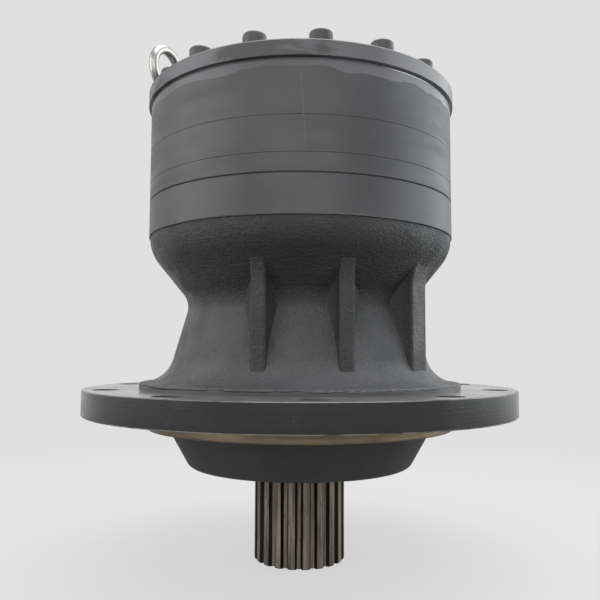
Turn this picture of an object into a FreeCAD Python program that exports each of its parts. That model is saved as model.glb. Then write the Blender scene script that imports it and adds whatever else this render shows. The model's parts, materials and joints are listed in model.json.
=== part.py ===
import FreeCAD, Part

import math
import os

# Swing gearbox: a two-stage planetary reducer standing on its output shaft. Millimetres and degrees.
# Origin: centre of the mounting flange's lower face. +Z runs up the shaft to the motor, -Y is the front.
# Plan angles are given from the front, positive to the right, seen from the front.

# Flange, foot and pilot of the housing
flange_radius = 222.0
flange_thickness = 25.0
flange_chamfer = 0.8
flange_bolt_count = 10
flange_bolt_edge = 22.0
flange_bolt_hole = 26.0
flange_bolt_phase = 3.0
pilot_radius = 160.0
pilot_height = 15.0
pilot_chamfer = 1.5
foot_ledge = 7.0
foot_height = 6.0
foot_round = 2.5

# Seal boss below the pilot
boss_depth = 55.0
boss_inset = 22.5
boss_taper = 22.5
boss_round = 9.0

# Neck between foot and band, as the sharp corners that its rounds soften; drops are from the housing's top
housing_height = 215.5
band_height = 36.5
crown_drop = 50.8
waist_drop = 102.5
band_radius = 160.0
crown_inset = 1.2
waist_wall = 16.5
neck_inset = 27.0
neck_root_round = 32.0
waist_round = 22.0
crown_round = 38.0
band_chamfer = 1.3

# Ribs in the waist: front ones as (plan angle, face width), mirrored to the rear across the mould's parting
front_ribs = ((-15.8, 14.6), (17.7, 14.6), (56.3, 32.0))
rib_inset = 22.0
rib_bend_depth = 8.0
rib_bend_round = 14.0
rib_inner_draft = 20.0
rib_outer_draft = 48.0
rib_root_round = 24.0
rib_root_run = 30.0
rib_overlap = 8.0
rib_edge_round = 2.5
rib_flare_round = 55.0
rib_top_rise = 23.0
rib_top_reach = 15.0

# Ring gears, the wall outside their teeth and the seams between them
ring_height = 50.1
ring_wall = 31.25
ring_bore_inset = 16.0
seam_chamfer = 0.3
joint_chamfer = 0.6
witness_height = 17.3
witness_width = 0.6
witness_depth = 0.35
edge_line_height = 48.8

# Cover with its raised motor seat
cover_overhang = 2.8
cover_thickness = 16.3
cover_chamfer = 1.5
cover_relief_depth = 4.0
cover_relief_height = 1.0
cover_relief_slope = 0.3
motor_seat_gap = 12.5
motor_seat_height = 10.0
motor_seat_round = 2.0
motor_seat_width = 42.0
motor_pilot_chamfer = 1.5
motor_bolt_inset = 22.0
motor_bolt_count = 4
motor_thread_radius = 7.0
motor_bolt_phase = 45.0

# Cover screws: socket head, shank through both ring gears into the housing
screw_count = 15
screw_phase = 7.1
screw_edge = 15.0
screw_radius = 7.0
screw_head_radius = 10.5
screw_head_height = 14.0
screw_head_round = 2.5
screw_key = 12.0
screw_key_depth = 7.0
screw_thread_length = 26.0
screw_tip_chamfer = 1.0
screw_hole_gap = 0.75
tap_allowance = 0.05
tap_run_out = 4.0

# Dowels that line up the ring gears
dowel_edge = 16.0
dowel_radius = 5.0
dowel_depth = 12.0
dowel_end_gap = 0.5

# Lifting eye bolt
eye_angle = -78.5
eye_edge = 14.0
eye_turn = 52.0
eye_loop_radius = 21.0
eye_bar_radius = 6.0
eye_collar_radius = 14.5
eye_collar_height = 6.0
eye_collar_round = 1.5
eye_neck_radius = 9.0
eye_neck_round = 2.0
eye_neck_drop = 1.0
eye_height = 55.0
eye_shank_radius = 6.0
eye_shank_length = 13.5
eye_tap_run_out = 1.0

# Tapered roller bearings, the same size below and above
bearing_ledge = 28.0
bearing_bore_share = 0.55
bearing_width = 56.0
bearing_cone_width = 53.0
bearing_cup_width = 46.0
bearing_corner = 2.0
bearing_edge = 1.0
cup_angle = 15.6
cone_angle = 11.6
cup_thin_wall = 5.5
roller_length = 35.0
roller_count = 18
roller_gap = 0.1
roller_end_gap = 0.5
cone_rib_height = 5.0
cone_lip_height = 2.0
cage_offset = 3.0
cage_thickness = 2.5
cage_overhang = 4.0
cage_pocket_gap = 0.4

# Bores of the housing, from the bottom; insets are from the bearings' outside
seal_pocket_inset = 25.0
seal_pocket_depth = 14.0
seal_pocket_chamfer = 1.0
seal_land_inset = 34.0
seal_land_height = 4.0
cup_relief_inset = 14.0
cup_relief_depth = 5.0
core_wall_gap = 13.0
core_low_rise = 16.0
core_high_drop = 28.0
core_low_round = 8.0
core_high_round = 20.0
bore_relief = 1.5
chamber_wall = 32.0
chamber_depth = 53.5
chamber_round = 7.0

# Retainer that holds the upper cup down
retainer_gap = 8.0
retainer_bore_inset = 13.5
retainer_bore_chamfer = 4.0
retainer_edge_round = 1.0
retainer_thickness = 11.0
retainer_spigot = 3.0
retainer_spigot_gap = 0.3
shim_thickness = 1.0
retainer_screw_count = 8
retainer_screw_radius = 5.0
retainer_head_radius = 8.0
retainer_head_height = 10.0
retainer_key = 8.0
retainer_key_depth = 5.0
retainer_screw_length = 26.0
small_hole_gap = 0.5
small_head_round = 1.0

# Oil seal and drain
seal_lip_gap = 0.05
seal_case = 3.0
seal_web = 4.0
seal_lip_width = 6.0
seal_edge = 1.5
seal_hollow = 2.0
seal_dust_slope = 1.0
seal_main_slope = 3.0
seal_end_gap = 0.5
seal_top_step = 2.0
drain_angle = 180.0
drain_height = 56.0
drain_boss_radius = 22.0
drain_boss_rise = 14.0
drain_radius = 12.0
drain_head_radius = 16.5
drain_head_height = 6.0
drain_washer = 2.0
drain_washer_rim = 1.0
drain_washer_gap = 0.3
drain_length = 20.0
drain_key = 12.0
drain_key_depth = 8.0

# Output shaft
spline_length = 89.0
spline_drop = 7.0
spline_teeth = 18
spline_pressure = 30.0
spline_phase = 0.0
spline_tip_share = 0.1
spline_root_share = 1.1
spline_end_chamfer = 3.0
lower_spline_inset = 7.5
upper_spline_inset = 5.0
seal_journal_inset = 2.5
journal_slope = 4.0
journal_shoulder = 2.0
shaft_collar_rise = 11.0
shaft_collar_round = 1.5
shaft_top_gap = 0.5
spline_gap = 0.05

# Gear teeth, shared by all gears; the shares are of the module
pressure = 20.0
ring_teeth = 49
addendum_share = 1.0
dedendum_share = 1.25
ring_addendum_share = 0.78
tooth_thinning = 0.2
root_flare = 0.5

# Second stage
second_sun_teeth = 15
second_planet_teeth = 17
second_planets = 4
second_phase = 0.0
second_hub_wall = 22.0
second_hub_lift = 14.0
second_hub_height = 16.0
second_hub_round = 4.0
second_carrier_gap = 12.0
second_floor_lift = 1.0
second_carrier_rise = 1.5
second_carrier_slope = 6.0
second_carrier_edge = 2.0
second_plate = 8.0
second_window_gap = 2.0
second_pin_share = 4.0
second_bush_wall = 4.0
second_pin_floor = 6.0
second_pin_sunk = 1.0
second_lock_radius = 4.0
second_lock_past = 4.0
second_lock_sunk = 2.0
second_lock_run_out = 3.0
second_sun_gap = 3.5
end_plate_lift = 10.0
end_plate_thickness = 10.0
end_plate_gap = 1.0
end_screw_inset = 22.0
end_screw_count = 4
end_screw_phase = 45.0
end_screw_radius = 6.0
end_head_radius = 9.0
end_head_height = 9.0
end_head_gap = 0.6
end_head_sunk = 7.0
end_key = 10.0
end_key_depth = 5.0
end_screw_length = 34.0

# First stage
first_sun_teeth = 17
first_planet_teeth = 16
first_planets = 3
first_phase = 90.0
first_disc_gap = 18.0
first_disc_edge = 2.0
first_carrier_gap = 3.7
first_carrier_thickness = 12.8
first_pin_share = 3.2
first_bush_wall = 3.5
first_pin_clear = 1.2
first_pin_end = 1.0
first_pin_chamfer = 0.6
first_window_radius = 15.0
first_window_inset = 9.5
circlip_thickness = 1.5
circlip_wall = 4.0
circlip_groove = 1.6
circlip_opening = 50.0
groove_gap = 0.1

# Thrust parts and running gaps
washer_thickness = 2.0
washer_rim = 14.0
washer_gap = 0.2
axial_play = 0.2
running_gap = 0.05
press_gap = 0.02
sun_bore = 12.0
pad_radius = 18.0
small_pad_radius = 15.0
pad_edge = 1.0
snap_ring_thickness = 2.4
snap_ring_rim = 7.5
snap_ring_opening = 12.0
snap_groove_depth = 4.0
sun_overhang = 0.5
input_sun_lift = 1.0
input_sun_rise = 2.0
socket_radius = 20.0
socket_teeth = 18
socket_module = 2.0

# How far a cutter runs past the face that it opens
over = 1.0

# Radii that follow from the sizes above
foot_radius = pilot_radius + foot_ledge
neck_root_radius = foot_radius - neck_inset
boss_top_radius = pilot_radius - boss_inset
boss_bottom_radius = boss_top_radius - boss_taper
crown_radius = band_radius - crown_inset
rib_face_radius = band_radius - rib_inset
flange_bolt_ring = flange_radius - flange_bolt_edge
screw_ring = band_radius - screw_edge
dowel_ring = band_radius - dowel_edge
eye_ring = band_radius - eye_edge
cover_radius = band_radius + cover_overhang
motor_seat_radius = screw_ring - screw_head_radius - motor_seat_gap
motor_pilot_radius = motor_seat_radius - motor_seat_width
motor_bolt_ring = motor_seat_radius - motor_bolt_inset
chamber_radius = band_radius - chamber_wall
retainer_radius = chamber_radius - retainer_gap
bearing_outside = chamber_radius - bearing_ledge
bearing_bore = bearing_outside * bearing_bore_share
waist_radius = bearing_outside + waist_wall
core_radius = bearing_outside + core_wall_gap
seal_pocket_radius = bearing_outside - seal_pocket_inset
seal_land_radius = bearing_outside - seal_land_inset
cup_relief_radius = bearing_outside - cup_relief_inset
retainer_bore = bearing_outside - retainer_bore_inset
retainer_ring = (retainer_radius + bearing_outside) / 2
seal_journal_radius = bearing_bore - seal_journal_inset
shaft_collar_radius = bearing_bore + shaft_collar_rise
lower_spline_radius = bearing_bore - lower_spline_inset
upper_spline_radius = bearing_bore - upper_spline_inset
spline_module = 2 * lower_spline_radius / (spline_teeth + 1)
end_plate_radius = upper_spline_radius
end_screw_ring = end_plate_radius - end_screw_inset
second_hub_radius = upper_spline_radius + second_hub_wall

# Gears that fill the ring inside its wall
module = (band_radius - ring_wall) / (ring_teeth / 2 + dedendum_share)
addendum = addendum_share * module
dedendum = dedendum_share * module
ring_addendum = ring_addendum_share * module
ring_pitch = module * ring_teeth / 2
second_centre = module * (second_sun_teeth + second_planet_teeth) / 2
first_centre = module * (first_sun_teeth + first_planet_teeth) / 2
second_sun_tip = module * second_sun_teeth / 2 + addendum
second_pin_radius = second_pin_share * module
first_pin_radius = first_pin_share * module
second_carrier_radius = chamber_radius - second_carrier_gap
first_carrier_radius = chamber_radius - first_disc_gap
first_window_ring = first_centre - first_window_inset
snap_ring_radius = second_sun_tip + snap_ring_rim

# Heights that follow from the sizes above
foot_top = flange_thickness + foot_height
band_bottom = housing_height - band_height
crown_height = housing_height - crown_drop
flare_slope = (crown_radius - waist_radius) / (waist_drop - crown_drop)
waist_height = housing_height - waist_drop
rib_flare_height = waist_height + (rib_face_radius - waist_radius) / flare_slope
chamber_floor = housing_height - chamber_depth
lower_cup_z = -boss_depth + seal_pocket_depth + seal_land_height + cup_relief_depth
lower_cone_z = lower_cup_z + bearing_width
upper_cup_z = chamber_floor + shim_thickness - retainer_spigot
upper_cone_z = upper_cup_z - bearing_width
spline_top = -boss_depth - spline_drop
shaft_bottom = spline_top - spline_length
seam_one = housing_height + ring_height
cover_z = seam_one + ring_height
cover_top = cover_z + cover_thickness
motor_face = cover_top + motor_seat_height
hub_z = chamber_floor + second_hub_lift
hub_step_z = hub_z + second_hub_height
second_floor = housing_height + second_floor_lift
second_top = seam_one + second_carrier_rise
second_ceiling = second_top - second_plate
end_plate_z = hub_step_z + end_plate_lift
end_plate_top = end_plate_z + end_plate_thickness
second_planet_z = second_floor + washer_thickness + axial_play
second_planet_top = second_ceiling - washer_thickness - axial_play
first_floor = second_top + first_carrier_gap
first_carrier_top = first_floor + first_carrier_thickness
first_pin_top = cover_z - first_pin_clear
circlip_z = first_pin_top - first_pin_end - circlip_thickness
first_planet_z = first_carrier_top + washer_thickness + axial_play
first_planet_top = circlip_z - washer_thickness - 2 * axial_play
second_sun_z = second_floor + second_sun_gap
second_sun_top = first_carrier_top + sun_overhang
snap_ring_z = first_floor - axial_play - snap_ring_thickness
input_sun_z = first_planet_z + input_sun_lift
input_sun_top = first_planet_top + input_sun_rise

# The drain boss stands out of the neck's cone, and its faces follow the cone's radius at that height
drain_share = (drain_height - foot_top) / (waist_height - foot_top)
drain_boss_reach = neck_root_radius - (neck_root_radius - waist_radius) * drain_share + drain_boss_rise

# Plan angles of the patterns
flange_bolt_angles = [flange_bolt_phase + k * 360 / flange_bolt_count for k in range(flange_bolt_count)]
screw_angles = [screw_phase + k * 360 / screw_count for k in range(screw_count)]
dowel_angles = [screw_phase + (k + 0.5) * 360 / screw_count for k in (0, screw_count // 2)]
retainer_angles = [k * 360 / retainer_screw_count for k in range(retainer_screw_count)]
motor_angles = [motor_bolt_phase + k * 360 / motor_bolt_count for k in range(motor_bolt_count)]
end_screw_angles = [end_screw_phase + k * 360 / end_screw_count for k in range(end_screw_count)]
roller_angles = [k * 360 / roller_count for k in range(roller_count)]
second_angles = [second_phase + k * 360 / second_planets for k in range(second_planets)]
first_angles = [first_phase + k * 360 / first_planets for k in range(first_planets)]


ORIGIN = FreeCAD.Vector(0, 0, 0)
UP = FreeCAD.Vector(0, 0, 1)
FRONT = -90.0


def polar(radius, angle, z=0.0):
    """The point at a radius and a plan angle, which runs from the front to the right."""
    turn = math.radians(FRONT + angle)
    return FreeCAD.Vector(radius * math.cos(turn), radius * math.sin(turn), z)


def whole(shape):
    """The single solid of a shape, facing outwards."""
    solid = shape.Solids[0]
    if solid.Volume < 0:
        solid.reverse()
    return solid


def loop(corners, flat=False):
    """A closed wire through (a, b) corners, in XZ or flat in XY; a third value rounds a corner."""
    spots = [FreeCAD.Vector(c[0], c[1], 0) if flat else FreeCAD.Vector(c[0], 0, c[1]) for c in corners]
    runs = []
    for i, spot in enumerate(spots):
        rounding = corners[i][2] if len(corners[i]) > 2 else 0.0
        if rounding == 0.0:
            runs.append((spot, spot, None))
            continue
        back = (spots[i - 1] - spot).normalize()
        ahead = (spots[(i + 1) % len(spots)] - spot).normalize()
        half = back.getAngle(ahead) / 2
        reach = rounding / math.tan(half)
        inward = (back + ahead).normalize()
        crest = spot + inward * (rounding / math.sin(half) - rounding)
        runs.append((spot + back * reach, spot + ahead * reach, crest))
    edges = []
    for i, (start, end, crest) in enumerate(runs):
        if crest is not None:
            edges.append(Part.Arc(start, crest, end).toShape())
        following = runs[(i + 1) % len(runs)][0]
        if end.distanceToPoint(following) > 1e-6:
            edges.append(Part.LineSegment(end, following).toShape())
    return Part.Wire(edges)


def turned(corners):
    """A solid of revolution about the shaft axis from (radius, height) corners."""
    return whole(Part.Face(loop(corners)).revolve(ORIGIN, UP, 360))


def ring(outer, inner, bottom, top, chamfer=0.0):
    """A plain ring with both outer edges chamfered."""
    corners = [(inner, bottom), (outer - chamfer, bottom)]
    if chamfer:
        corners += [(outer, bottom + chamfer), (outer, top - chamfer)]
    else:
        corners += [(outer, bottom)]
    corners += [(outer - chamfer, top), (inner, top)]
    return turned(corners)


def rod(radius, bottom, top, spot=ORIGIN):
    """A plain cylinder along the shaft's direction, at a place in plan."""
    return Part.makeCylinder(radius, top - bottom, FreeCAD.Vector(spot.x, spot.y, bottom), UP)


def round_the_axis(shape, angles):
    """Copies of a shape that stands at the front, one at each plan angle."""
    copies = []
    for angle in angles:
        copy = shape.copy()
        copy.rotate(ORIGIN, UP, angle)
        copies.append(copy)
    return copies


def cut_all(shape, tools):
    """The shape with every tool taken out of it, as one solid."""
    return whole(shape.cut(Part.makeCompound(tools)))


def involute(angle):
    """The involute function of an angle in radians."""
    return math.tan(angle) - angle


def toothed(teeth, size, lean, tip, root, thickness, phase, bottom, top):
    """A toothed bar with involute flanks; one tooth's middle stands at the phase, from +X."""
    pitch_radius = size * teeth / 2
    lean = math.radians(lean)
    base = pitch_radius * math.cos(lean)
    foot = max(root, base)

    def half_tooth(radius):
        flank_lean = math.acos(min(1.0, base / radius))
        return thickness / (2 * pitch_radius) + involute(lean) - involute(flank_lean)

    def spot(radius, angle):
        return FreeCAD.Vector(radius * math.cos(angle), radius * math.sin(angle), bottom)

    middle = (foot + tip) / 2
    flare = root_flare / root if foot > root else 0.0
    step = 2 * math.pi / teeth
    edges = []
    for k in range(teeth):
        axis = math.radians(phase) + k * step
        rise = [spot(r, axis - half_tooth(r)) for r in (foot, middle, tip)]
        fall = [spot(r, axis + half_tooth(r)) for r in (tip, middle, foot)]
        low = spot(root, axis - half_tooth(foot) - flare)
        if flare:
            edges.append(Part.LineSegment(low, rise[0]).toShape())
        edges.append(Part.Arc(*rise).toShape())
        edges.append(Part.Arc(rise[2], spot(tip, axis), fall[0]).toShape())
        edges.append(Part.Arc(*fall).toShape())
        valley = spot(root, axis + half_tooth(foot) + flare)
        if flare:
            edges.append(Part.LineSegment(fall[2], valley).toShape())
        deepest = spot(root, axis + step / 2)
        following = spot(root, axis + step - half_tooth(foot) - flare)
        edges.append(Part.Arc(valley, deepest, following).toShape())
    face = Part.Face(Part.Wire(edges))
    return whole(face.extrude(UP * (top - bottom)))


def gear(teeth, phase, bottom, top, spread=0.0):
    """An external gear; spread thickens its teeth, for a cutter of the matching hole."""
    pitch_radius = module * teeth / 2
    thickness = math.pi * module / 2 - tooth_thinning + 2 * spread
    tip = pitch_radius + addendum + spread
    root = pitch_radius - dedendum + spread
    return toothed(teeth, module, pressure, tip, root, thickness, phase, bottom, top)


def spline(radius, bottom, top, spread=0.0, teeth=spline_teeth, pitch=spline_module):
    """An involute spline bar of a reference radius; spread makes it the cutter of the matching hole."""
    shift = radius - pitch * (teeth + spline_root_share) / 2
    lean = math.tan(math.radians(spline_pressure))
    thickness = math.pi * pitch / 2 + 2 * shift * lean + 2 * spread
    tip = radius - spline_tip_share * pitch + spread
    root = radius - spline_root_share * pitch + spread
    return toothed(teeth, pitch, spline_pressure, tip, root, thickness, spline_phase, bottom, top)


def ring_phase():
    """A direction, from +X, in which both ring gears have the middle of a tooth space."""
    return FRONT + second_phase


def planet_phase(angle, teeth):
    """The turn that brings a planet at a plan angle into mesh with its ring gear."""
    towards = FRONT + angle
    pitch_angle = 360 / ring_teeth
    behind = (towards - ring_phase()) % pitch_angle
    return towards - behind * ring_teeth / teeth


def sun_phase(angle, planet_teeth, sun_teeth):
    """The turn that brings a sun gear into mesh with the planet at a plan angle."""
    towards = FRONT + angle
    offset = (planet_phase(angle, planet_teeth) - towards - 180) % (360 / planet_teeth)
    return towards - offset * planet_teeth / sun_teeth + 180 / sun_teeth


def hexagon(across, bottom, top):
    """A hexagonal bar along the shaft's direction."""
    corners = [FreeCAD.Vector(0, 0, bottom) + polar(across / math.sqrt(3), 30 + 60 * k) for k in range(7)]
    return whole(Part.Face(Part.makePolygon(corners)).extrude(UP * (top - bottom)))


def cap_screw(seat, head_radius, head_height, head_round, radius, length, key, key_depth):
    """A socket head cap screw on the shaft axis, its head's underside at the seat height."""
    top = seat + head_height
    tip = seat - length
    body = turned([
        (0, tip),
        (radius - screw_tip_chamfer, tip),
        (radius, tip + screw_tip_chamfer),
        (radius, seat),
        (head_radius, seat),
        (head_radius, top, head_round),
        (0, top),
    ])
    return whole(body.cut(hexagon(key, top - key_depth, top + over)))


def rib_flank(half, draft, side):
    """Plan corners of a rib's flank, from the face down to its rounded root and on into the neck."""
    bend = rib_face_radius - rib_bend_depth
    across = half + (bend - waist_radius) * math.tan(math.radians(draft))
    far = across + rib_root_run
    return [
        (rib_face_radius + rib_top_reach, side * half),
        (bend, side * half, rib_bend_round),
        (math.sqrt(waist_radius ** 2 - across ** 2), side * across, rib_root_round),
        (math.sqrt(waist_radius ** 2 - far ** 2) - rib_overlap, side * far),
    ]


def rib(angle, width):
    """One cast rib at a plan angle: drafted flanks with rounded roots, its face flared into the crown."""
    outer = math.copysign(1, angle)
    outside = rib_face_radius + rib_top_reach
    inside = waist_radius / 2
    plan = rib_flank(width / 2, rib_outer_draft, outer)
    plan += reversed(rib_flank(width / 2, rib_inner_draft, -outer))
    side = [
        (inside, flange_thickness),
        (rib_face_radius, flange_thickness),
        (rib_face_radius, rib_flare_height, rib_flare_round),
        (outside, rib_flare_height + rib_top_rise),
        (inside, rib_flare_height + rib_top_rise),
    ]
    bar = Part.Face(loop(plan, flat=True)).extrude(UP * housing_height)
    slab = Part.Face(loop(side)).extrude(FreeCAD.Vector(0, 2 * band_radius, 0))
    slab.translate(FreeCAD.Vector(0, -band_radius, 0))
    bar = whole(bar.common(slab))
    edges = [edge for edge in bar.Edges
             if edge.BoundBox.XMin > rib_face_radius - 0.01 and edge.BoundBox.ZLength > 1.0]
    bar = whole(bar.makeFillet(rib_edge_round, edges))
    bar.rotate(ORIGIN, UP, FRONT + angle)
    return bar


def casting_outside():
    """The outside of the housing casting as one filled solid, before it is bored."""
    body = turned([
        (0, -boss_depth),
        (boss_bottom_radius, -boss_depth, boss_round),
        (boss_top_radius, -pilot_height),
        (pilot_radius - pilot_chamfer, -pilot_height),
        (pilot_radius, -pilot_height + pilot_chamfer),
        (pilot_radius, 0),
        (flange_radius - flange_chamfer, 0),
        (flange_radius, flange_chamfer),
        (flange_radius, flange_thickness - flange_chamfer),
        (flange_radius - flange_chamfer, flange_thickness),
        (foot_radius, flange_thickness),
        (foot_radius, foot_top, foot_round),
        (neck_root_radius, foot_top, neck_root_round),
        (waist_radius, waist_height, waist_round),
        (crown_radius, crown_height, crown_round),
        (crown_radius, band_bottom),
        (band_radius, band_bottom),
        (band_radius, housing_height - band_chamfer),
        (band_radius - band_chamfer, housing_height),
        (0, housing_height),
    ])
    drain_boss = drain_bar(drain_boss_radius, core_radius, drain_boss_reach)
    front = [rib(angle, width) for angle, width in front_ribs]
    rear = [whole(bar.mirror(ORIGIN, FreeCAD.Vector(0, 1, 0))) for bar in front]
    return whole(body.multiFuse(front + rear + [drain_boss]).removeSplitter())


def casting_inside():
    """Everything that is bored or cored out of the housing round the shaft axis."""
    core_neck = bearing_outside + bore_relief
    pocket_top = -boss_depth + seal_pocket_depth
    return turned([
        (0, -boss_depth - over),
        (seal_pocket_radius + seal_pocket_chamfer, -boss_depth - over),
        (seal_pocket_radius + seal_pocket_chamfer, -boss_depth),
        (seal_pocket_radius, -boss_depth + seal_pocket_chamfer),
        (seal_pocket_radius, pocket_top),
        (seal_land_radius, pocket_top),
        (seal_land_radius, lower_cup_z - cup_relief_depth),
        (cup_relief_radius, lower_cup_z - cup_relief_depth),
        (cup_relief_radius, lower_cup_z),
        (bearing_outside, lower_cup_z),
        (bearing_outside, lower_cone_z),
        (core_neck, lower_cone_z),
        (core_radius, lower_cone_z + core_low_rise, core_low_round),
        (core_radius, upper_cone_z - core_high_drop, core_high_round),
        (core_neck, upper_cone_z),
        (bearing_outside, upper_cone_z),
        (bearing_outside, chamber_floor),
        (chamber_radius, chamber_floor, chamber_round),
        (chamber_radius, housing_height + over),
        (0, housing_height + over),
    ])


def drain_bar(radius, start, end):
    """A bar along the drain's direction between two distances from the shaft axis."""
    spot = polar(start, drain_angle, drain_height)
    return Part.makeCylinder(radius, end - start, spot, polar(1, drain_angle))


def make_housing():
    """The casting: flange, foot, ribbed neck, band, pilot and boss, with every bore and hole."""
    tools = [casting_inside()]
    bolt = rod(flange_bolt_hole / 2, -over, flange_thickness + over, polar(flange_bolt_ring, 0))
    tools += round_the_axis(bolt, flange_bolt_angles)
    tap_bottom = housing_height - screw_thread_length - tap_run_out
    tap = rod(screw_radius + tap_allowance, tap_bottom, housing_height + over, polar(screw_ring, 0))
    tools += round_the_axis(tap, screw_angles)
    small_tap = retainer_screw_length - retainer_thickness - shim_thickness + tap_run_out
    hole = rod(retainer_screw_radius + tap_allowance, chamber_floor - small_tap, chamber_floor + over,
               polar(retainer_ring, 0))
    tools += round_the_axis(hole, retainer_angles)
    tools += dowel_holes(housing_height - dowel_depth, housing_height + over)
    tools.append(drain_bar(drain_radius + tap_allowance, seal_pocket_radius, drain_boss_reach + over))
    return cut_all(casting_outside(), tools)


def dowel_holes(bottom, top):
    """The two reamed dowel holes between two heights."""
    return round_the_axis(rod(dowel_radius + press_gap, bottom, top, polar(dowel_ring, 0)), dowel_angles)


def screw_holes(bottom, top):
    """The clearance holes of the cover screws between two heights."""
    return round_the_axis(rod(screw_radius + screw_hole_gap, bottom, top, polar(screw_ring, 0)), screw_angles)


def make_ring_gear(bottom, line_height, low_chamfer, high_chamfer):
    """A ring gear with full-length teeth, screw and dowel holes and a turned witness line."""
    top = bottom + ring_height
    line = bottom + line_height
    inside = chamber_radius - ring_bore_inset
    corners = [
        (inside, bottom),
        (band_radius - low_chamfer, bottom),
        (band_radius, bottom + low_chamfer),
        (band_radius, line - witness_width / 2),
        (band_radius - witness_depth, line),
        (band_radius, line + witness_width / 2),
        (band_radius, top - high_chamfer),
        (band_radius - high_chamfer, top),
        (inside, top),
    ]
    space = math.pi * module / 2 + tooth_thinning
    cutter = toothed(ring_teeth, module, pressure, ring_pitch + dedendum, ring_pitch - ring_addendum, space,
                     ring_phase(), bottom - over, top + over)
    tools = [cutter] + screw_holes(bottom - over, top + over)
    for joint in (housing_height, seam_one):
        tools += dowel_holes(joint - dowel_depth, joint + dowel_depth)
    return cut_all(turned(corners), tools)


def make_cover():
    """The cover plate: relieved lower edge, raised motor seat, motor pilot bore and tapped holes."""
    body = turned([
        (motor_pilot_radius, cover_z),
        (cover_radius - cover_relief_depth, cover_z),
        (cover_radius - cover_relief_depth, cover_z + cover_relief_height),
        (cover_radius, cover_z + cover_relief_height + cover_relief_slope),
        (cover_radius, cover_top - cover_chamfer),
        (cover_radius - cover_chamfer, cover_top),
        (motor_seat_radius, cover_top),
        (motor_seat_radius, motor_face, motor_seat_round),
        (motor_pilot_radius + motor_pilot_chamfer, motor_face),
        (motor_pilot_radius, motor_face - motor_pilot_chamfer),
    ])
    tools = screw_holes(cover_z - over, cover_top + over)
    thread = rod(motor_thread_radius, cover_z - over, motor_face + over, polar(motor_bolt_ring, 0))
    tools += round_the_axis(thread, motor_angles)
    tools.append(rod(eye_shank_radius + tap_allowance, cover_top - eye_shank_length - eye_tap_run_out,
                     cover_top + over, polar(eye_ring, eye_angle)))
    return cut_all(body, tools)


def make_cover_screws():
    """The long screws that clamp the cover and both ring gears to the housing."""
    length = cover_top - housing_height + screw_thread_length
    screw = cap_screw(cover_top, screw_head_radius, screw_head_height, screw_head_round, screw_radius, length,
                      screw_key, screw_key_depth)
    screw.translate(polar(screw_ring, 0))
    return round_the_axis(screw, screw_angles)


def make_dowels():
    """Dowel pins across the housing joint and the joint between the ring gears."""
    pins = []
    reach = dowel_depth - dowel_end_gap
    for joint in (housing_height, seam_one):
        pin = rod(dowel_radius, joint - reach, joint + reach, polar(dowel_ring, 0))
        pins += round_the_axis(pin, dowel_angles)
    return pins


def make_eye_bolt():
    """The lifting eye bolt: shank in the cover, collar, neck and loop turned across the view."""
    loop_height = eye_height - eye_loop_radius - eye_bar_radius
    neck_top = loop_height - eye_loop_radius + eye_bar_radius - eye_neck_drop
    stem = turned([
        (0, -eye_shank_length),
        (eye_shank_radius, -eye_shank_length),
        (eye_shank_radius, 0),
        (eye_collar_radius, 0),
        (eye_collar_radius, eye_collar_height, eye_collar_round),
        (eye_neck_radius, neck_top, eye_neck_round),
        (0, neck_top),
    ])
    bar = Part.makeTorus(eye_loop_radius, eye_bar_radius, FreeCAD.Vector(0, 0, loop_height), polar(1, 0))
    bolt = whole(stem.fuse(bar).removeSplitter())
    bolt.rotate(ORIGIN, UP, eye_turn)
    bolt.translate(polar(eye_ring, eye_angle, cover_top))
    return bolt


cup_run = math.tan(math.radians(cup_angle))
apex_reach = (bearing_outside - cup_thin_wall) / cup_run - bearing_cup_width
roller_lean = math.radians((cup_angle + cone_angle) / 2)
roller_cone = math.tan(math.radians((cup_angle - cone_angle) / 2))
roller_middle = (apex_reach + bearing_width / 2) / math.cos(roller_lean)


def on_roller(along, across):
    """The (radius, height) of a point at a distance from the bearing's apex along a roller's axis."""
    radius = along * math.sin(roller_lean) + across * math.cos(roller_lean)
    height = along * math.cos(roller_lean) - across * math.sin(roller_lean) - apex_reach
    return radius, height


def bearing_cup():
    """The outer race, its thick end at height 0."""
    return turned([
        (apex_reach * cup_run, 0),
        (bearing_outside - bearing_corner, 0),
        (bearing_outside, bearing_corner),
        (bearing_outside, bearing_cup_width - bearing_edge),
        (bearing_outside - bearing_edge, bearing_cup_width),
        ((apex_reach + bearing_cup_width) * cup_run, bearing_cup_width),
    ])


def bearing_cone():
    """The inner race with its small lip and the rib that guides the rollers' large ends."""
    near = roller_middle - roller_length / 2 - roller_end_gap
    far = roller_middle + roller_length / 2 + roller_end_gap
    bottom = bearing_width - bearing_cone_width
    lip = on_roller(near, -near * roller_cone)
    rib_foot = on_roller(far, -far * roller_cone)
    rib_head = on_roller(far, -far * roller_cone + cone_rib_height)
    lip_head = on_roller(near, -near * roller_cone + cone_lip_height)
    return turned([
        (bearing_bore, bottom + bearing_edge),
        (bearing_bore + bearing_edge, bottom),
        (lip_head[0] - bearing_edge, bottom),
        lip_head,
        lip,
        rib_foot,
        rib_head,
        (rib_head[0] + bearing_edge, bearing_width),
        (bearing_bore + bearing_corner, bearing_width),
        (bearing_bore, bearing_width - bearing_corner),
    ])


def roller(gap):
    """One tapered roller at +X; the gap is its clearance on the races, negative for a cage pocket."""
    ends = [roller_middle - roller_length / 2 + gap, roller_middle + roller_length / 2 - gap]
    radii = [end * roller_cone - gap for end in ends]
    axis = FreeCAD.Vector(math.sin(roller_lean), 0, math.cos(roller_lean))
    start = axis * ends[0] - UP * apex_reach
    return Part.makeCone(radii[0], radii[1], ends[1] - ends[0], start, axis)


def bearing_rollers():
    """The set of tapered rollers."""
    return round_the_axis(roller(roller_gap), roller_angles)


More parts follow.
